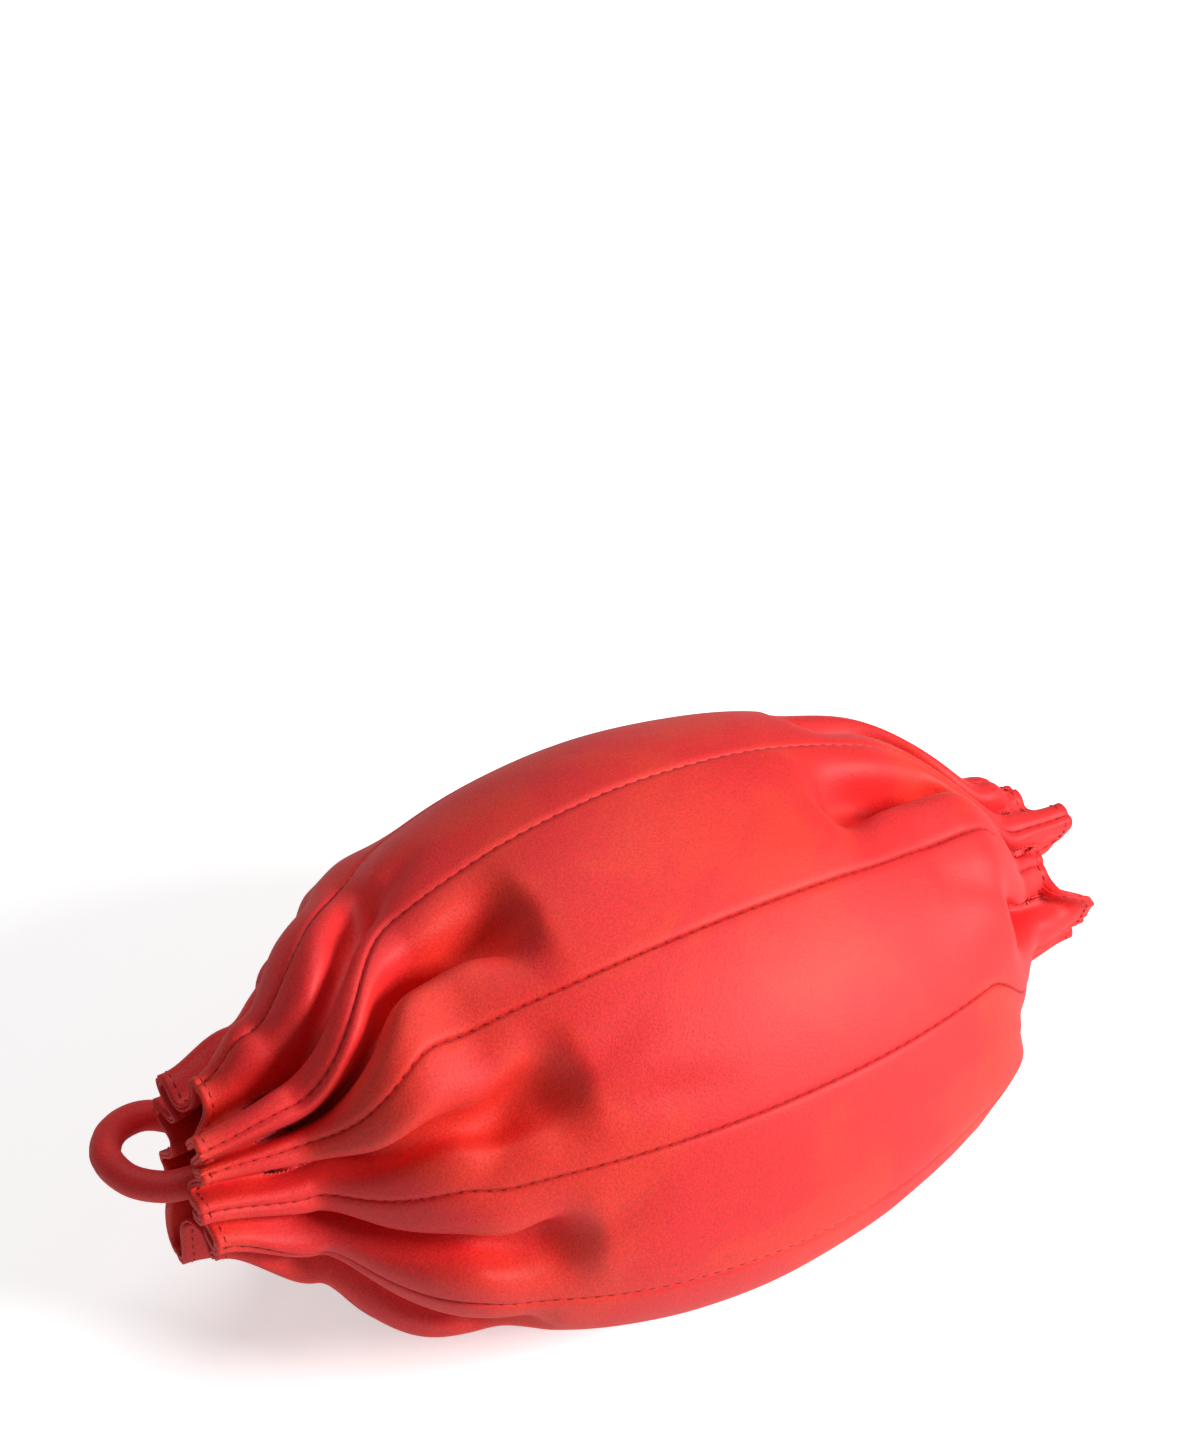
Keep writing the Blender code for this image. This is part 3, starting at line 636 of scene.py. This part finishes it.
def openSlit(grid, k):
    zip8 = bag["zipSeam"]
    if k not in (zip8 - 1, zip8):
        return grid
    phi = math.radians(seamDegrees(zip8))
    upward = np.array([0, -math.cos(phi), -math.sin(phi)])
    sign = 1 if k == zip8 else -1
    ease, reach = bag["slitEase"], bag["slitColumns"]
    window = smooth(bag["slitHalfX"] + ease / 2 - np.abs(stationX), 0, ease)
    columns = range(reach) if k == zip8 else range(goreColumns, goreColumns - reach, -1)
    for n, j in enumerate(columns):
        fade = (1 - n / reach) ** 1.2
        shift = sign * bag["slitHalfWidth"] * window * fade
        grid[:, j] += upward * shift[:, None]
    return grid


holeRims = {}


def makePanel(k):
    grid, normal = goreGrid(k)
    grid = openSlit(grid, k)
    rows, columns = grid.shape[:2]
    middle, reach = goreColumns // 2, hole["columns"]
    points = grid.reshape(-1, 3).tolist()
    across = np.cumsum(np.r_[0, np.linalg.norm(np.diff(grid[rows // 2], axis=0), axis=1)])
    uv = [(across[j], stationX[i]) for i in range(rows) for j in range(columns)]
    twin = {}
    for side in (-1, 1):
        t = (stationX * side - bag["ringX"]) / (hole["length"] / 2)
        opening = np.sqrt(np.clip(1 - t * t, 0, 1))
        inside = [i for i in range(rows) if opening[i] > 0.05]
        rimA, rimB = [], []
        for i in inside:
            sideways = grid[i, middle + 2] - grid[i, middle - 2]
            sideways /= np.linalg.norm(sideways) + 1e-9
            room = np.linalg.norm(grid[i, middle + reach] - grid[i, middle - reach]) / 2
            width = hole["others"].get((k, side), hole["halfWidth"])
            gap = min(width, room * hole["roomShare"]) * opening[i]
            centre = grid[i, middle].copy()
            for j in range(-reach, reach + 1):
                fade = 1 - abs(j) / (reach + 1)
                move = sideways * gap * fade * (1 if j > 0 else -1)
                if j:
                    points[i * columns + middle + j] = (grid[i, middle + j] + move).tolist()
            points[i * columns + middle] = (centre - sideways * gap).tolist()
            twin[i] = len(points)
            points.append((centre + sideways * gap).tolist())
            uv.append((across[middle], stationX[i]))
            rimA.append((np.array(points[i * columns + middle]), normal[i, middle]))
            rimB.append((np.array(points[twin[i]]), normal[i, middle]))
        holeRims[(k, side)] = rimA + rimB[::-1]
    faces = []
    for i in range(rows - 1):
        for j in range(columns - 1):
            a, b = i * columns + j, i * columns + j + 1
            c, d = (i + 1) * columns + j + 1, (i + 1) * columns + j
            if j == middle:
                a, d = twin.get(i, a), twin.get(i + 1, d)
            faces.append((a, b, c, d))
    piece = meshPiece(f"gore_{k + 1:02d}", points, faces, satin, uv=uv)
    addThickness(piece, bag["cloth"])
    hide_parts(f"panel_{k + 1:02d}")
    return piece


for k in range(bag["gores"]):
    makePanel(k)
print("gores made")


# Facings: the inner layer of each ruffle

facing = {"gap": 0.0003, "thickness": 0.0008, "startPastRing": 0.0085}


def makeFacing(side, name):
    rows = [i for i, x in enumerate(stationX) if x * side >= bag["ringX"] + facing["startPastRing"]]
    inset = bag["cloth"] + facing["gap"]
    layer = surface[rows] - normals[rows] * inset
    faces = gridFaces(len(rows), layer.shape[1], True)
    piece = meshPiece(f"ruffle_facing_{name}", layer.reshape(-1, 3), faces, satin)
    addThickness(piece, facing["thickness"])
    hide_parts(f"facing_{name}")


for facingSide, facingName in ((-1, "left"), (1, "right")):
    makeFacing(facingSide, facingName)
print("facings made")


# Lining: a plain sleeve inside the gores

lining = {"inset": 0.0022, "thickness": 0.0008, "columns": 120, "reach": 0.100, "zipMargin": 0.0072}


def makeLining():
    rows = [i for i, x in enumerate(stationX) if abs(x) <= lining["reach"]]
    phi = math.radians(seamDegrees(bag["zipSeam"]))
    points = []
    for i in rows:
        ring = surface[i]
        centre = np.array([stationX[i], 0, bag["axisHeight"]])
        reach = np.linalg.norm((ring - centre)[:, 1:], axis=1).min() - lining["inset"]
        margin = math.asin(lining["zipMargin"] / reach)
        for a in np.linspace(phi + margin, phi + 2 * math.pi - margin, lining["columns"]):
            z = max(centre[2] + reach * math.cos(a), lining["inset"])
            points.append((stationX[i], -reach * math.sin(a), z))
    piece = meshPiece("lining_sleeve", points, gridFaces(len(rows), lining["columns"]), liningCloth)
    addThickness(piece, lining["thickness"], 0.0)
    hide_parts("lining")


makeLining()
print("lining made")


# Tubes: mesh swept along a path, with the soft creases of a turned fabric tube

def sweep(path, radiusAt, sides, closed=False, up=(0, 0, 1)):
    path = np.asarray(path, float)
    count = len(path)
    ahead = np.roll(path, -1, axis=0) - np.roll(path, 1, axis=0)
    if not closed:
        ahead[0], ahead[-1] = path[1] - path[0], path[-1] - path[-2]
    ahead /= np.linalg.norm(ahead, axis=1)[:, None]
    side = np.cross(ahead[0], up)
    if np.linalg.norm(side) < 0.05:
        side = np.cross(ahead[0], (1, 0.2, 0))
    points = []
    for i in range(count):
        side = side - ahead[i] * side.dot(ahead[i])
        side /= np.linalg.norm(side)
        other = np.cross(ahead[i], side)
        for j in range(sides):
            a = 2 * math.pi * j / sides
            points.append(path[i] + (side * math.cos(a) + other * math.sin(a)) * radiusAt(i, a))
    faces = []
    for i in range(count if closed else count - 1):
        for j in range(sides):
            n = (i + 1) % count
            k = (j + 1) % sides
            faces.append((i * sides + j, i * sides + k, n * sides + k, n * sides + j))
    if not closed:
        faces.append(tuple(range(sides)))
        faces.append(tuple(reversed(range((count - 1) * sides, count * sides))))
    return points, faces


def smoothPath(route, step):
    points = [np.array(p, float) for p in route]
    points = [2 * points[0] - points[1], *points, 2 * points[-1] - points[-2]]
    fine = []
    for a, b, c, d in zip(points, points[1:], points[2:], points[3:]):
        for t in np.linspace(0, 1, 24, endpoint=False):
            fine.append(0.5 * (2 * b + (c - a) * t + (2 * a - 5 * b + 4 * c - d) * t**2
                               + (3 * b - a - 3 * c + d) * t**3))
    fine = np.array([*fine, points[-2]])
    along = np.r_[0, np.cumsum(np.linalg.norm(np.diff(fine, axis=0), axis=1))]
    even = np.linspace(0, along[-1], max(2, int(along[-1] / step) + 1))
    return np.stack([np.interp(even, along, fine[:, c]) for c in range(3)], axis=1), along[-1]


crease = {"waves": 5, "swell": 0.05, "seamDepth": 0.035, "seamAngle": 4.7, "seamSpread": 0.16}


def creased(radius, seed):
    rng = random.Random(seed)
    waves = []
    for _ in range(crease["waves"]):
        pace, phase = rng.uniform(0.25, 0.9), rng.uniform(0, fullTurn)
        waves.append((pace, phase, rng.randint(1, 3), rng.uniform(0.3, 1)))

    def radiusAt(i, a):
        swell = sum(w * math.sin(f * i + p + n * a) for f, p, n, w in waves) / crease["waves"]
        dent = crease["seamDepth"] * math.exp(-(((a - crease["seamAngle"]) / crease["seamSpread"]) ** 2))
        return radius * (1 + crease["swell"] * swell) * (1 - dent)

    return radiusAt


# Strap: one turned tube from the left knot round the folded length to the right knot

strap = {
    "diameter": 0.0084, "centreY": 0.097, "halfRun": 0.053, "bend": 0.0176, "bottom": 0.0056,
    "rise": 0.0086, "turns": 2, "step": 0.0016, "sides": 18, "overFloor": 0.0012,
}
band = {
    "halfWidth": 0.006, "rows": 13, "room": 0.0006, "low": 0.0008, "layers": 2.39, "slack": 0.0005,
    "corner": 0.0042, "lowCorner": 0.00252, "wave": 0.0003, "edgeWave": 0.0004, "overFloor": 0.0006,
    "thickness": 0.0009,
}
startRoute = [
    (-0.1172, 0.0000, 0.0760), (-0.1320, 0.0003, 0.0760), (-0.1410, 0.0018, 0.0761),
    (-0.1475, 0.0068, 0.0760), (-0.1508, 0.0140, 0.0760), (-0.1505, 0.0212, 0.0750),
    (-0.1468, 0.0282, 0.0728), (-0.1405, 0.0332, 0.0702), (-0.1325, 0.0346, 0.0675),
    (-0.1245, 0.0330, 0.0618), (-0.1168, 0.0305, 0.0530), (-0.1095, 0.0305, 0.0420),
    (-0.1020, 0.0350, 0.0290), (-0.0970, 0.0440, 0.0170), (-0.0945, 0.0560, 0.0085),
    (-0.0900, 0.0680, 0.0058), (-0.0820, 0.0765, 0.0056), (-0.0710, 0.0794, 0.0056),
]
endRoute = [
    (0.0710, 0.0794, 0.0260), (0.0820, 0.0785, 0.0240), (0.0910, 0.0730, 0.0190),
    (0.0965, 0.0640, 0.0145), (0.1010, 0.0550, 0.0145), (0.1080, 0.0465, 0.0205),
    (0.1170, 0.0395, 0.0310), (0.1255, 0.0330, 0.0415), (0.1320, 0.0260, 0.0510),
    (0.1358, 0.0180, 0.0600), (0.1362, 0.0100, 0.0680), (0.1335, 0.0035, 0.0738),
    (0.1270, 0.0003, 0.0760), (0.1172, 0.0000, 0.0760),
]


def hankRoute():
    run, bend = 2 * strap["halfRun"], strap["bend"]
    turn = 2 * run + 2 * math.pi * bend
    total = strap["turns"] * turn + run
    points = []
    for s in np.arange(0.008, total - 0.004, 0.006):
        z = strap["bottom"] + strap["rise"] * s / turn
        u = s % turn
        if u < run:
            x, y = -strap["halfRun"] + u, strap["centreY"] - bend
        elif u < run + math.pi * bend:
            a = (u - run) / bend
            x, y = strap["halfRun"] + bend * math.sin(a), strap["centreY"] - bend * math.cos(a)
        elif u < 2 * run + math.pi * bend:
            x, y = strap["halfRun"] - (u - run - math.pi * bend), strap["centreY"] + bend
        else:
            a = (u - 2 * run - math.pi * bend) / bend
            x, y = -strap["halfRun"] - bend * math.sin(a), strap["centreY"] + bend * math.cos(a)
        points.append((x, y, z))
    return points


def makeStrap():
    path, length = smoothPath(startRoute + hankRoute() + endRoute, strap["step"])
    points, faces = sweep(path, creased(strap["diameter"] / 2, 5), strap["sides"])
    points = [(p[0], p[1], max(p[2], strap["overFloor"])) for p in points]
    piece = meshPiece("strap_tube", points, faces, tubeSatin)
    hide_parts("strap_start", "strap_hank", "strap_end")
    return piece, path, length


def bandOutline():
    radius, corner, lowCorner = strap["diameter"] / 2, band["corner"], band["lowCorner"]
    side = strap["bend"] + radius + band["room"] - corner
    top = strap["bottom"] + strap["rise"] * band["layers"] + radius + band["slack"] - corner
    low = band["low"] + lowCorner
    outline = []
    for y, z, start, drop in ((side, top, 0, corner), (-side, top, 90, corner),
                              (-side, low, 180, lowCorner), (side, low, 270, lowCorner)):
        for a in np.radians(np.linspace(start, start + 90, 9)):
            outline.append((strap["centreY"] + y + corner * math.cos(a), z + drop * math.sin(a)))
    return outline


def makeTie():
    outline, centreY = bandOutline(), strap["centreY"]
    points, across = [], np.linspace(-band["halfWidth"], band["halfWidth"], band["rows"])
    for x in across:
        for n, (y, z) in enumerate(outline):
            wave = band["wave"] * math.sin(9 * n + 700 * x)
            edge = x + band["edgeWave"] * math.sin(n * 0.7)
            points.append((edge, y + (y - centreY) * wave * 12, max(z + wave, band["overFloor"])))
    piece = meshPiece("strap_band", points, gridFaces(len(across), len(outline), True), satin)
    addThickness(piece, band["thickness"], 1.0)
    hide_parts("strap_tie")
    return piece


strapTube, strapPath, strapLength = makeStrap()
strapBand = makeTie()


# Gathered rings and knots

knot = {"reachX": 0.1042, "spread": 0.0040, "radius": 0.0060, "sway": 0.0018, "tube": 0.0030, "steps": 110}


def makeRing(side, name):
    points, radius = [], gatherRing["radius"]
    centre = np.array([side * bag["ringX"], 0, bag["axisHeight"] + gatherRing["lift"]])
    for a in np.linspace(0, 2 * math.pi, 72, endpoint=False):
        points.append(centre + radius * np.array([0, -math.sin(a), math.cos(a)]))
    radiusAt = creased(gatherRing["tube"] / 2, 11 + side)
    mesh, faces = sweep(points, radiusAt, 16, closed=True, up=(1, 0, 0))
    piece = meshPiece(f"gather_tube_{name}", mesh, faces, tubeSatin)
    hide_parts(f"gather_ring_{name}")


def makeKnot(side, name):
    points = []
    centre = np.array([side * knot["reachX"], 0, bag["axisHeight"] + gatherRing["lift"]])
    for a in np.linspace(0, 2 * math.pi, knot["steps"], endpoint=False):
        reach = knot["radius"] + knot["sway"] * math.cos(3 * a)
        place = (knot["spread"] * math.sin(3 * a), reach * math.cos(2 * a), reach * math.sin(2 * a))
        points.append(centre + np.array(place))
    mesh, faces = sweep(points, creased(knot["tube"], 21 + side), 12, closed=True, up=(1, 0, 0))
    piece = meshPiece(f"strap_end_knot_{name}", mesh, faces, tubeSatin)
    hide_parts(f"strap_knot_{name}")
    return piece


for endSide, endName in ((-1, "left"), (1, "right")):
    makeRing(endSide, endName)
knots = [makeKnot(-1, "left"), makeKnot(1, "right")]
print("strap, rings and knots made, strap", round(strapLength, 3))


# Stitches

stitch = {
    "pitch": 0.0036, "length": 0.0021, "width": 0.00044, "lift": 0.00007,
    "hemInset": 0.0024, "hemPitch": 0.0030, "hemLength": 0.0019, "slitClear": 0.001,
}
whip = {"pitch": 0.0011, "length": 0.0019, "wander": 0.0004, "width": 0.00062, "lift": 0.0001}
# A dash from end to end: share of its length, share of its width, how far its middle is raised
dashRings = [(-0.5, 0.35, -0.7), (-0.3, 0.9, 0.1), (0, 1.0, 0.35), (0.3, 0.9, 0.1), (0.5, 0.35, -0.7)]


def dashMesh(dashes):
    points, faces = [], []
    for middle, along, out, length, width in dashes:
        along = along / (np.linalg.norm(along) + 1e-12)
        out = out - along * out.dot(along)
        out /= np.linalg.norm(out) + 1e-12
        across = np.cross(along, out)
        base = len(points)
        for share, size, sink in dashRings:
            for j in range(6):
                a = math.pi * j / 3
                up, sideways = sink + size * math.sin(a), size * math.cos(a)
                points.append(middle + along * share * length + (out * up + across * sideways) * width / 2)
        for r in range(4):
            for j in range(6):
                k = (j + 1) % 6
                faces.append((base + r * 6 + j, base + r * 6 + k, base + r * 6 + 6 + k, base + r * 6 + 6 + j))
        faces.append(tuple(base + j for j in reversed(range(6))))
        faces.append(tuple(base + 24 + j for j in range(6)))
    return points, faces


def valueAt(s, along, table):
    return np.array([np.interp(s, along, table[:, c]) for c in range(3)])


def dashesAlong(path, outs, pitch, length, closed=False):
    path, outs = np.asarray(path), np.asarray(outs)
    if closed:
        path, outs = np.r_[path, path[:1]], np.r_[outs, outs[:1]]
    along = np.r_[0, np.cumsum(np.linalg.norm(np.diff(path, axis=0), axis=1))]
    dashes = []
    for s in np.arange(pitch, along[-1] - pitch / 2, pitch):
        a, b = valueAt(s - length / 2, along, path), valueAt(s + length / 2, along, path)
        out = valueAt(s, along, outs)
        dashes.append(((a + b) / 2 + out * stitch["lift"], b - a, out, length, stitch["width"]))
    return dashes


def makeSeamStitches():
    dashes = []
    clear = bag["slitHalfX"] + stitch["slitClear"]
    for k in range(bag["gores"]):
        path, outs = surface[:, k * goreColumns], normals[:, k * goreColumns]
        whole = np.full(len(stationX), True)
        for part in (stationX < -clear, stationX > clear) if k == bag["zipSeam"] else (whole,):
            dashes += dashesAlong(path[part], outs[part], stitch["pitch"], stitch["length"])
    return dashes


def makeHemStitches():
    dashes = []
    for side in (-1, 1):
        row = len(stationX) - 1 if side > 0 else 0
        step = -1 if side > 0 else 1
        share = stitch["hemInset"] / abs(stationX[row + step] - stationX[row])
        low = int(share)
        part = share - low
        near, far = row + step * low, row + step * (low + 1)
        path = surface[near] * (1 - part) + surface[far] * part
        dashes += dashesAlong(path, normals[near], stitch["hemPitch"], stitch["hemLength"], closed=True)
    return dashes


def makeWhipStitches():
    dashes = []
    for rim in holeRims.values():
        path = np.array([p for p, _ in rim])
        outs = np.array([n for _, n in rim])
        middle = path.mean(axis=0)
        closed = np.r_[path, path[:1]]
        along = np.r_[0, np.cumsum(np.linalg.norm(np.diff(closed, axis=0), axis=1))]
        outsClosed = np.r_[outs, outs[:1]]
        for n, s in enumerate(np.arange(0, along[-1], whip["pitch"])):
            p, out = valueAt(s, along, closed), valueAt(s, along, outsClosed)
            away = p - middle
            away -= out * away.dot(out)
            away /= np.linalg.norm(away) + 1e-9
            length = whip["length"] + whip["wander"] * math.sin(7.0 * n)
            dashes.append((p + away * length * 0.25 + out * whip["lift"], away, out, length, whip["width"]))
    return dashes


def makeStitching():
    points, faces = dashMesh(makeSeamStitches() + makeHemStitches())
    piece = meshPiece("seam_stitches", points, faces, thread)
    points, faces = dashMesh(makeWhipStitches())
    piece = meshPiece("buttonhole_stitches", points, faces, paleThread)


makeStitching()
print("stitches made")


# Zip

zipper = {
    "chainHalf": 0.064, "tapeOuter": 0.0070, "tapeInner": 0.0016, "tapeThickness": 0.0006,
    "tapeHalf": 0.067, "tapeGap": 0.0003, "tapeCurve": 0.9,
    "toothPitch": 0.0016, "toothReach": 0.0019, "wire": 0.00030, "wireStep": 0.00045, "endClear": 0.0004,
}
# A tooth's loop: share of the pitch, share of the reach, height in millimetres
toothLoop = [
    (-0.25, 1.0, -0.9), (-0.12, 0.45, -0.45), (0.0, 0.12, -0.9),
    (0.12, 0.12, -1.5), (0.25, 0.5, -1.95), (0.38, 1.0, -1.7),
]


def zipPoint(along, across, height):
    phi = math.radians(seamDegrees(bag["zipSeam"]))
    radial = np.array([0, -math.sin(phi), math.cos(phi)])
    tangent = np.array([0, -math.cos(phi), -math.sin(phi)])
    arc = bag["profileArc"]
    centre = np.array([0, 0, bag["axisHeight"]]) + radial * (bag["bodyRadius"] - arc)
    a = along / arc
    up = np.array([math.sin(a), 0, 0]) + radial * math.cos(a)
    return centre + up * (arc + height) + tangent * across


def makeTape(side, name):
    xs = np.linspace(-zipper["tapeHalf"], zipper["tapeHalf"], 90)
    across = np.linspace(zipper["tapeInner"], zipper["tapeOuter"], 8)
    points = []
    for x in xs:
        for c in across:
            curve = c * c / bag["bodyRadius"] * zipper["tapeCurve"]
            points.append(zipPoint(x, side * c, -bag["cloth"] - zipper["tapeGap"] - curve))
    piece = meshPiece(f"zip_tape_cloth_{name}", points, gridFaces(len(xs), len(across)), tapeCloth)
    addThickness(piece, zipper["tapeThickness"], -1.0 if side > 0 else 1.0)
    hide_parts(f"zip_tape_{name}")


def makeCoil(side, name):
    points, faces = [], []
    half, pitch, reach = zipper["chainHalf"], zipper["toothPitch"], zipper["toothReach"]
    for s in np.arange(-half, half, pitch):
        s += pitch * (0.25 if side > 0 else 0.75)
        if s > half - zipper["endClear"]:
            continue
        path = [zipPoint(s + a * pitch, side * b * reach, h * 0.001) for a, b, h in toothLoop]
        fine, _ = smoothPath(path, zipper["wireStep"])
        mesh, quads = sweep(fine, lambda i, a: zipper["wire"], 6, up=(0.3, 0.2, 1))
        base = len(points)
        points += [list(p) for p in mesh]
        faces += [tuple(base + v for v in quad) for quad in quads]
    piece = meshPiece(f"zip_coil_{name}", points, faces, nylon)
    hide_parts(f"zip_teeth_{name}")


for zipSide, zipName in ((1, "upper"), (-1, "lower")):
    makeTape(zipSide, zipName)
    makeCoil(zipSide, zipName)
for nodeName in ("zip_stop_left", "zip_stop_right", "zip_slider", "zip_pull"):
    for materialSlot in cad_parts[nodeName].material_slots:
        materialSlot.material = metal
print("zip made")


# Lights and floor

lighting = {
    "world": 0.18,
    "floorLift": 0.55, "floorHalf": 4.0, "target": (0, 0, 0.06),
    "lamps": [
        {"name": "key", "place": (0.76, -0.96, 0.84), "size": 0.45, "watts": 22.5},
        {"name": "top", "place": (0.20, 0.30, 1.10), "size": 0.7, "watts": 4},
    ],
}


def aimLamp(lamp, target):
    lamp.rotation_euler = (Vector(target) - lamp.location).to_track_quat("-Z", "Y").to_euler()


def makeLights():
    for facts in lighting["lamps"]:
        light = bpy.data.lights.new(facts["name"], "AREA")
        light.shape = "DISK"
        light.size = facts["size"]
        light.energy = facts["watts"]
        lamp = bpy.data.objects.new(facts["name"], light)
        lamp.location = facts["place"]
        bpy.context.collection.objects.link(lamp)
        aimLamp(lamp, lighting["target"])
    world = bpy.data.worlds.new("studio")
    bpy.context.scene.world = world
    world.use_nodes = True
    nodes, links = world.node_tree.nodes, world.node_tree.links
    nodes.clear()
    output = nodes.new("ShaderNodeOutputWorld")
    path = nodes.new("ShaderNodeLightPath")
    plain = nodes.new("ShaderNodeBackground")
    plain.inputs["Strength"].default_value = lighting["world"]
    white = nodes.new("ShaderNodeBackground")
    white.inputs["Strength"].default_value = 1.0
    both = nodes.new("ShaderNodeMixShader")
    links.new(path.outputs["Is Camera Ray"], both.inputs[0])
    links.new(plain.outputs[0], both.inputs[1])
    links.new(white.outputs[0], both.inputs[2])
    links.new(both.outputs[0], output.inputs[0])


def makeFloor():
    half = lighting["floorHalf"]
    mesh = bpy.data.meshes.new("floor")
    corners = [(-half, -half, 0), (half, -half, 0), (half, half, 0), (-half, half, 0)]
    mesh.from_pydata(corners, [], [(0, 1, 2, 3)])
    floor = bpy.data.objects.new("floor", mesh)
    bpy.context.collection.objects.link(floor)
    material = bpy.data.materials.new("pale floor")
    material.use_nodes = True
    nodes, links = material.node_tree.nodes, material.node_tree.links
    shader = nodes["Principled BSDF"]
    shader.inputs["Base Color"].default_value = (0.92, 0.92, 0.92, 1)
    shader.inputs["Roughness"].default_value = 0.9
    shader.inputs["Specular IOR Level"].default_value = 0.0
    glow = nodes.new("ShaderNodeEmission")
    path = nodes.new("ShaderNodeLightPath")
    strength = nodes.new("ShaderNodeMath")
    strength.operation = "MULTIPLY"
    strength.inputs[1].default_value = lighting["floorLift"]
    links.new(path.outputs["Is Camera Ray"], strength.inputs[0])
    links.new(strength.outputs[0], glow.inputs["Strength"])
    add = nodes.new("ShaderNodeAddShader")
    output = nodes["Material Output"]
    links.new(shader.outputs[0], add.inputs[0])
    links.new(glow.outputs[0], add.inputs[1])
    links.new(add.outputs[0], output.inputs["Surface"])
    mesh.materials.append(material)


makeLights()
makeFloor()
scene = bpy.context.scene
scene.view_settings.view_transform = "Standard"
print("lights and floor made")
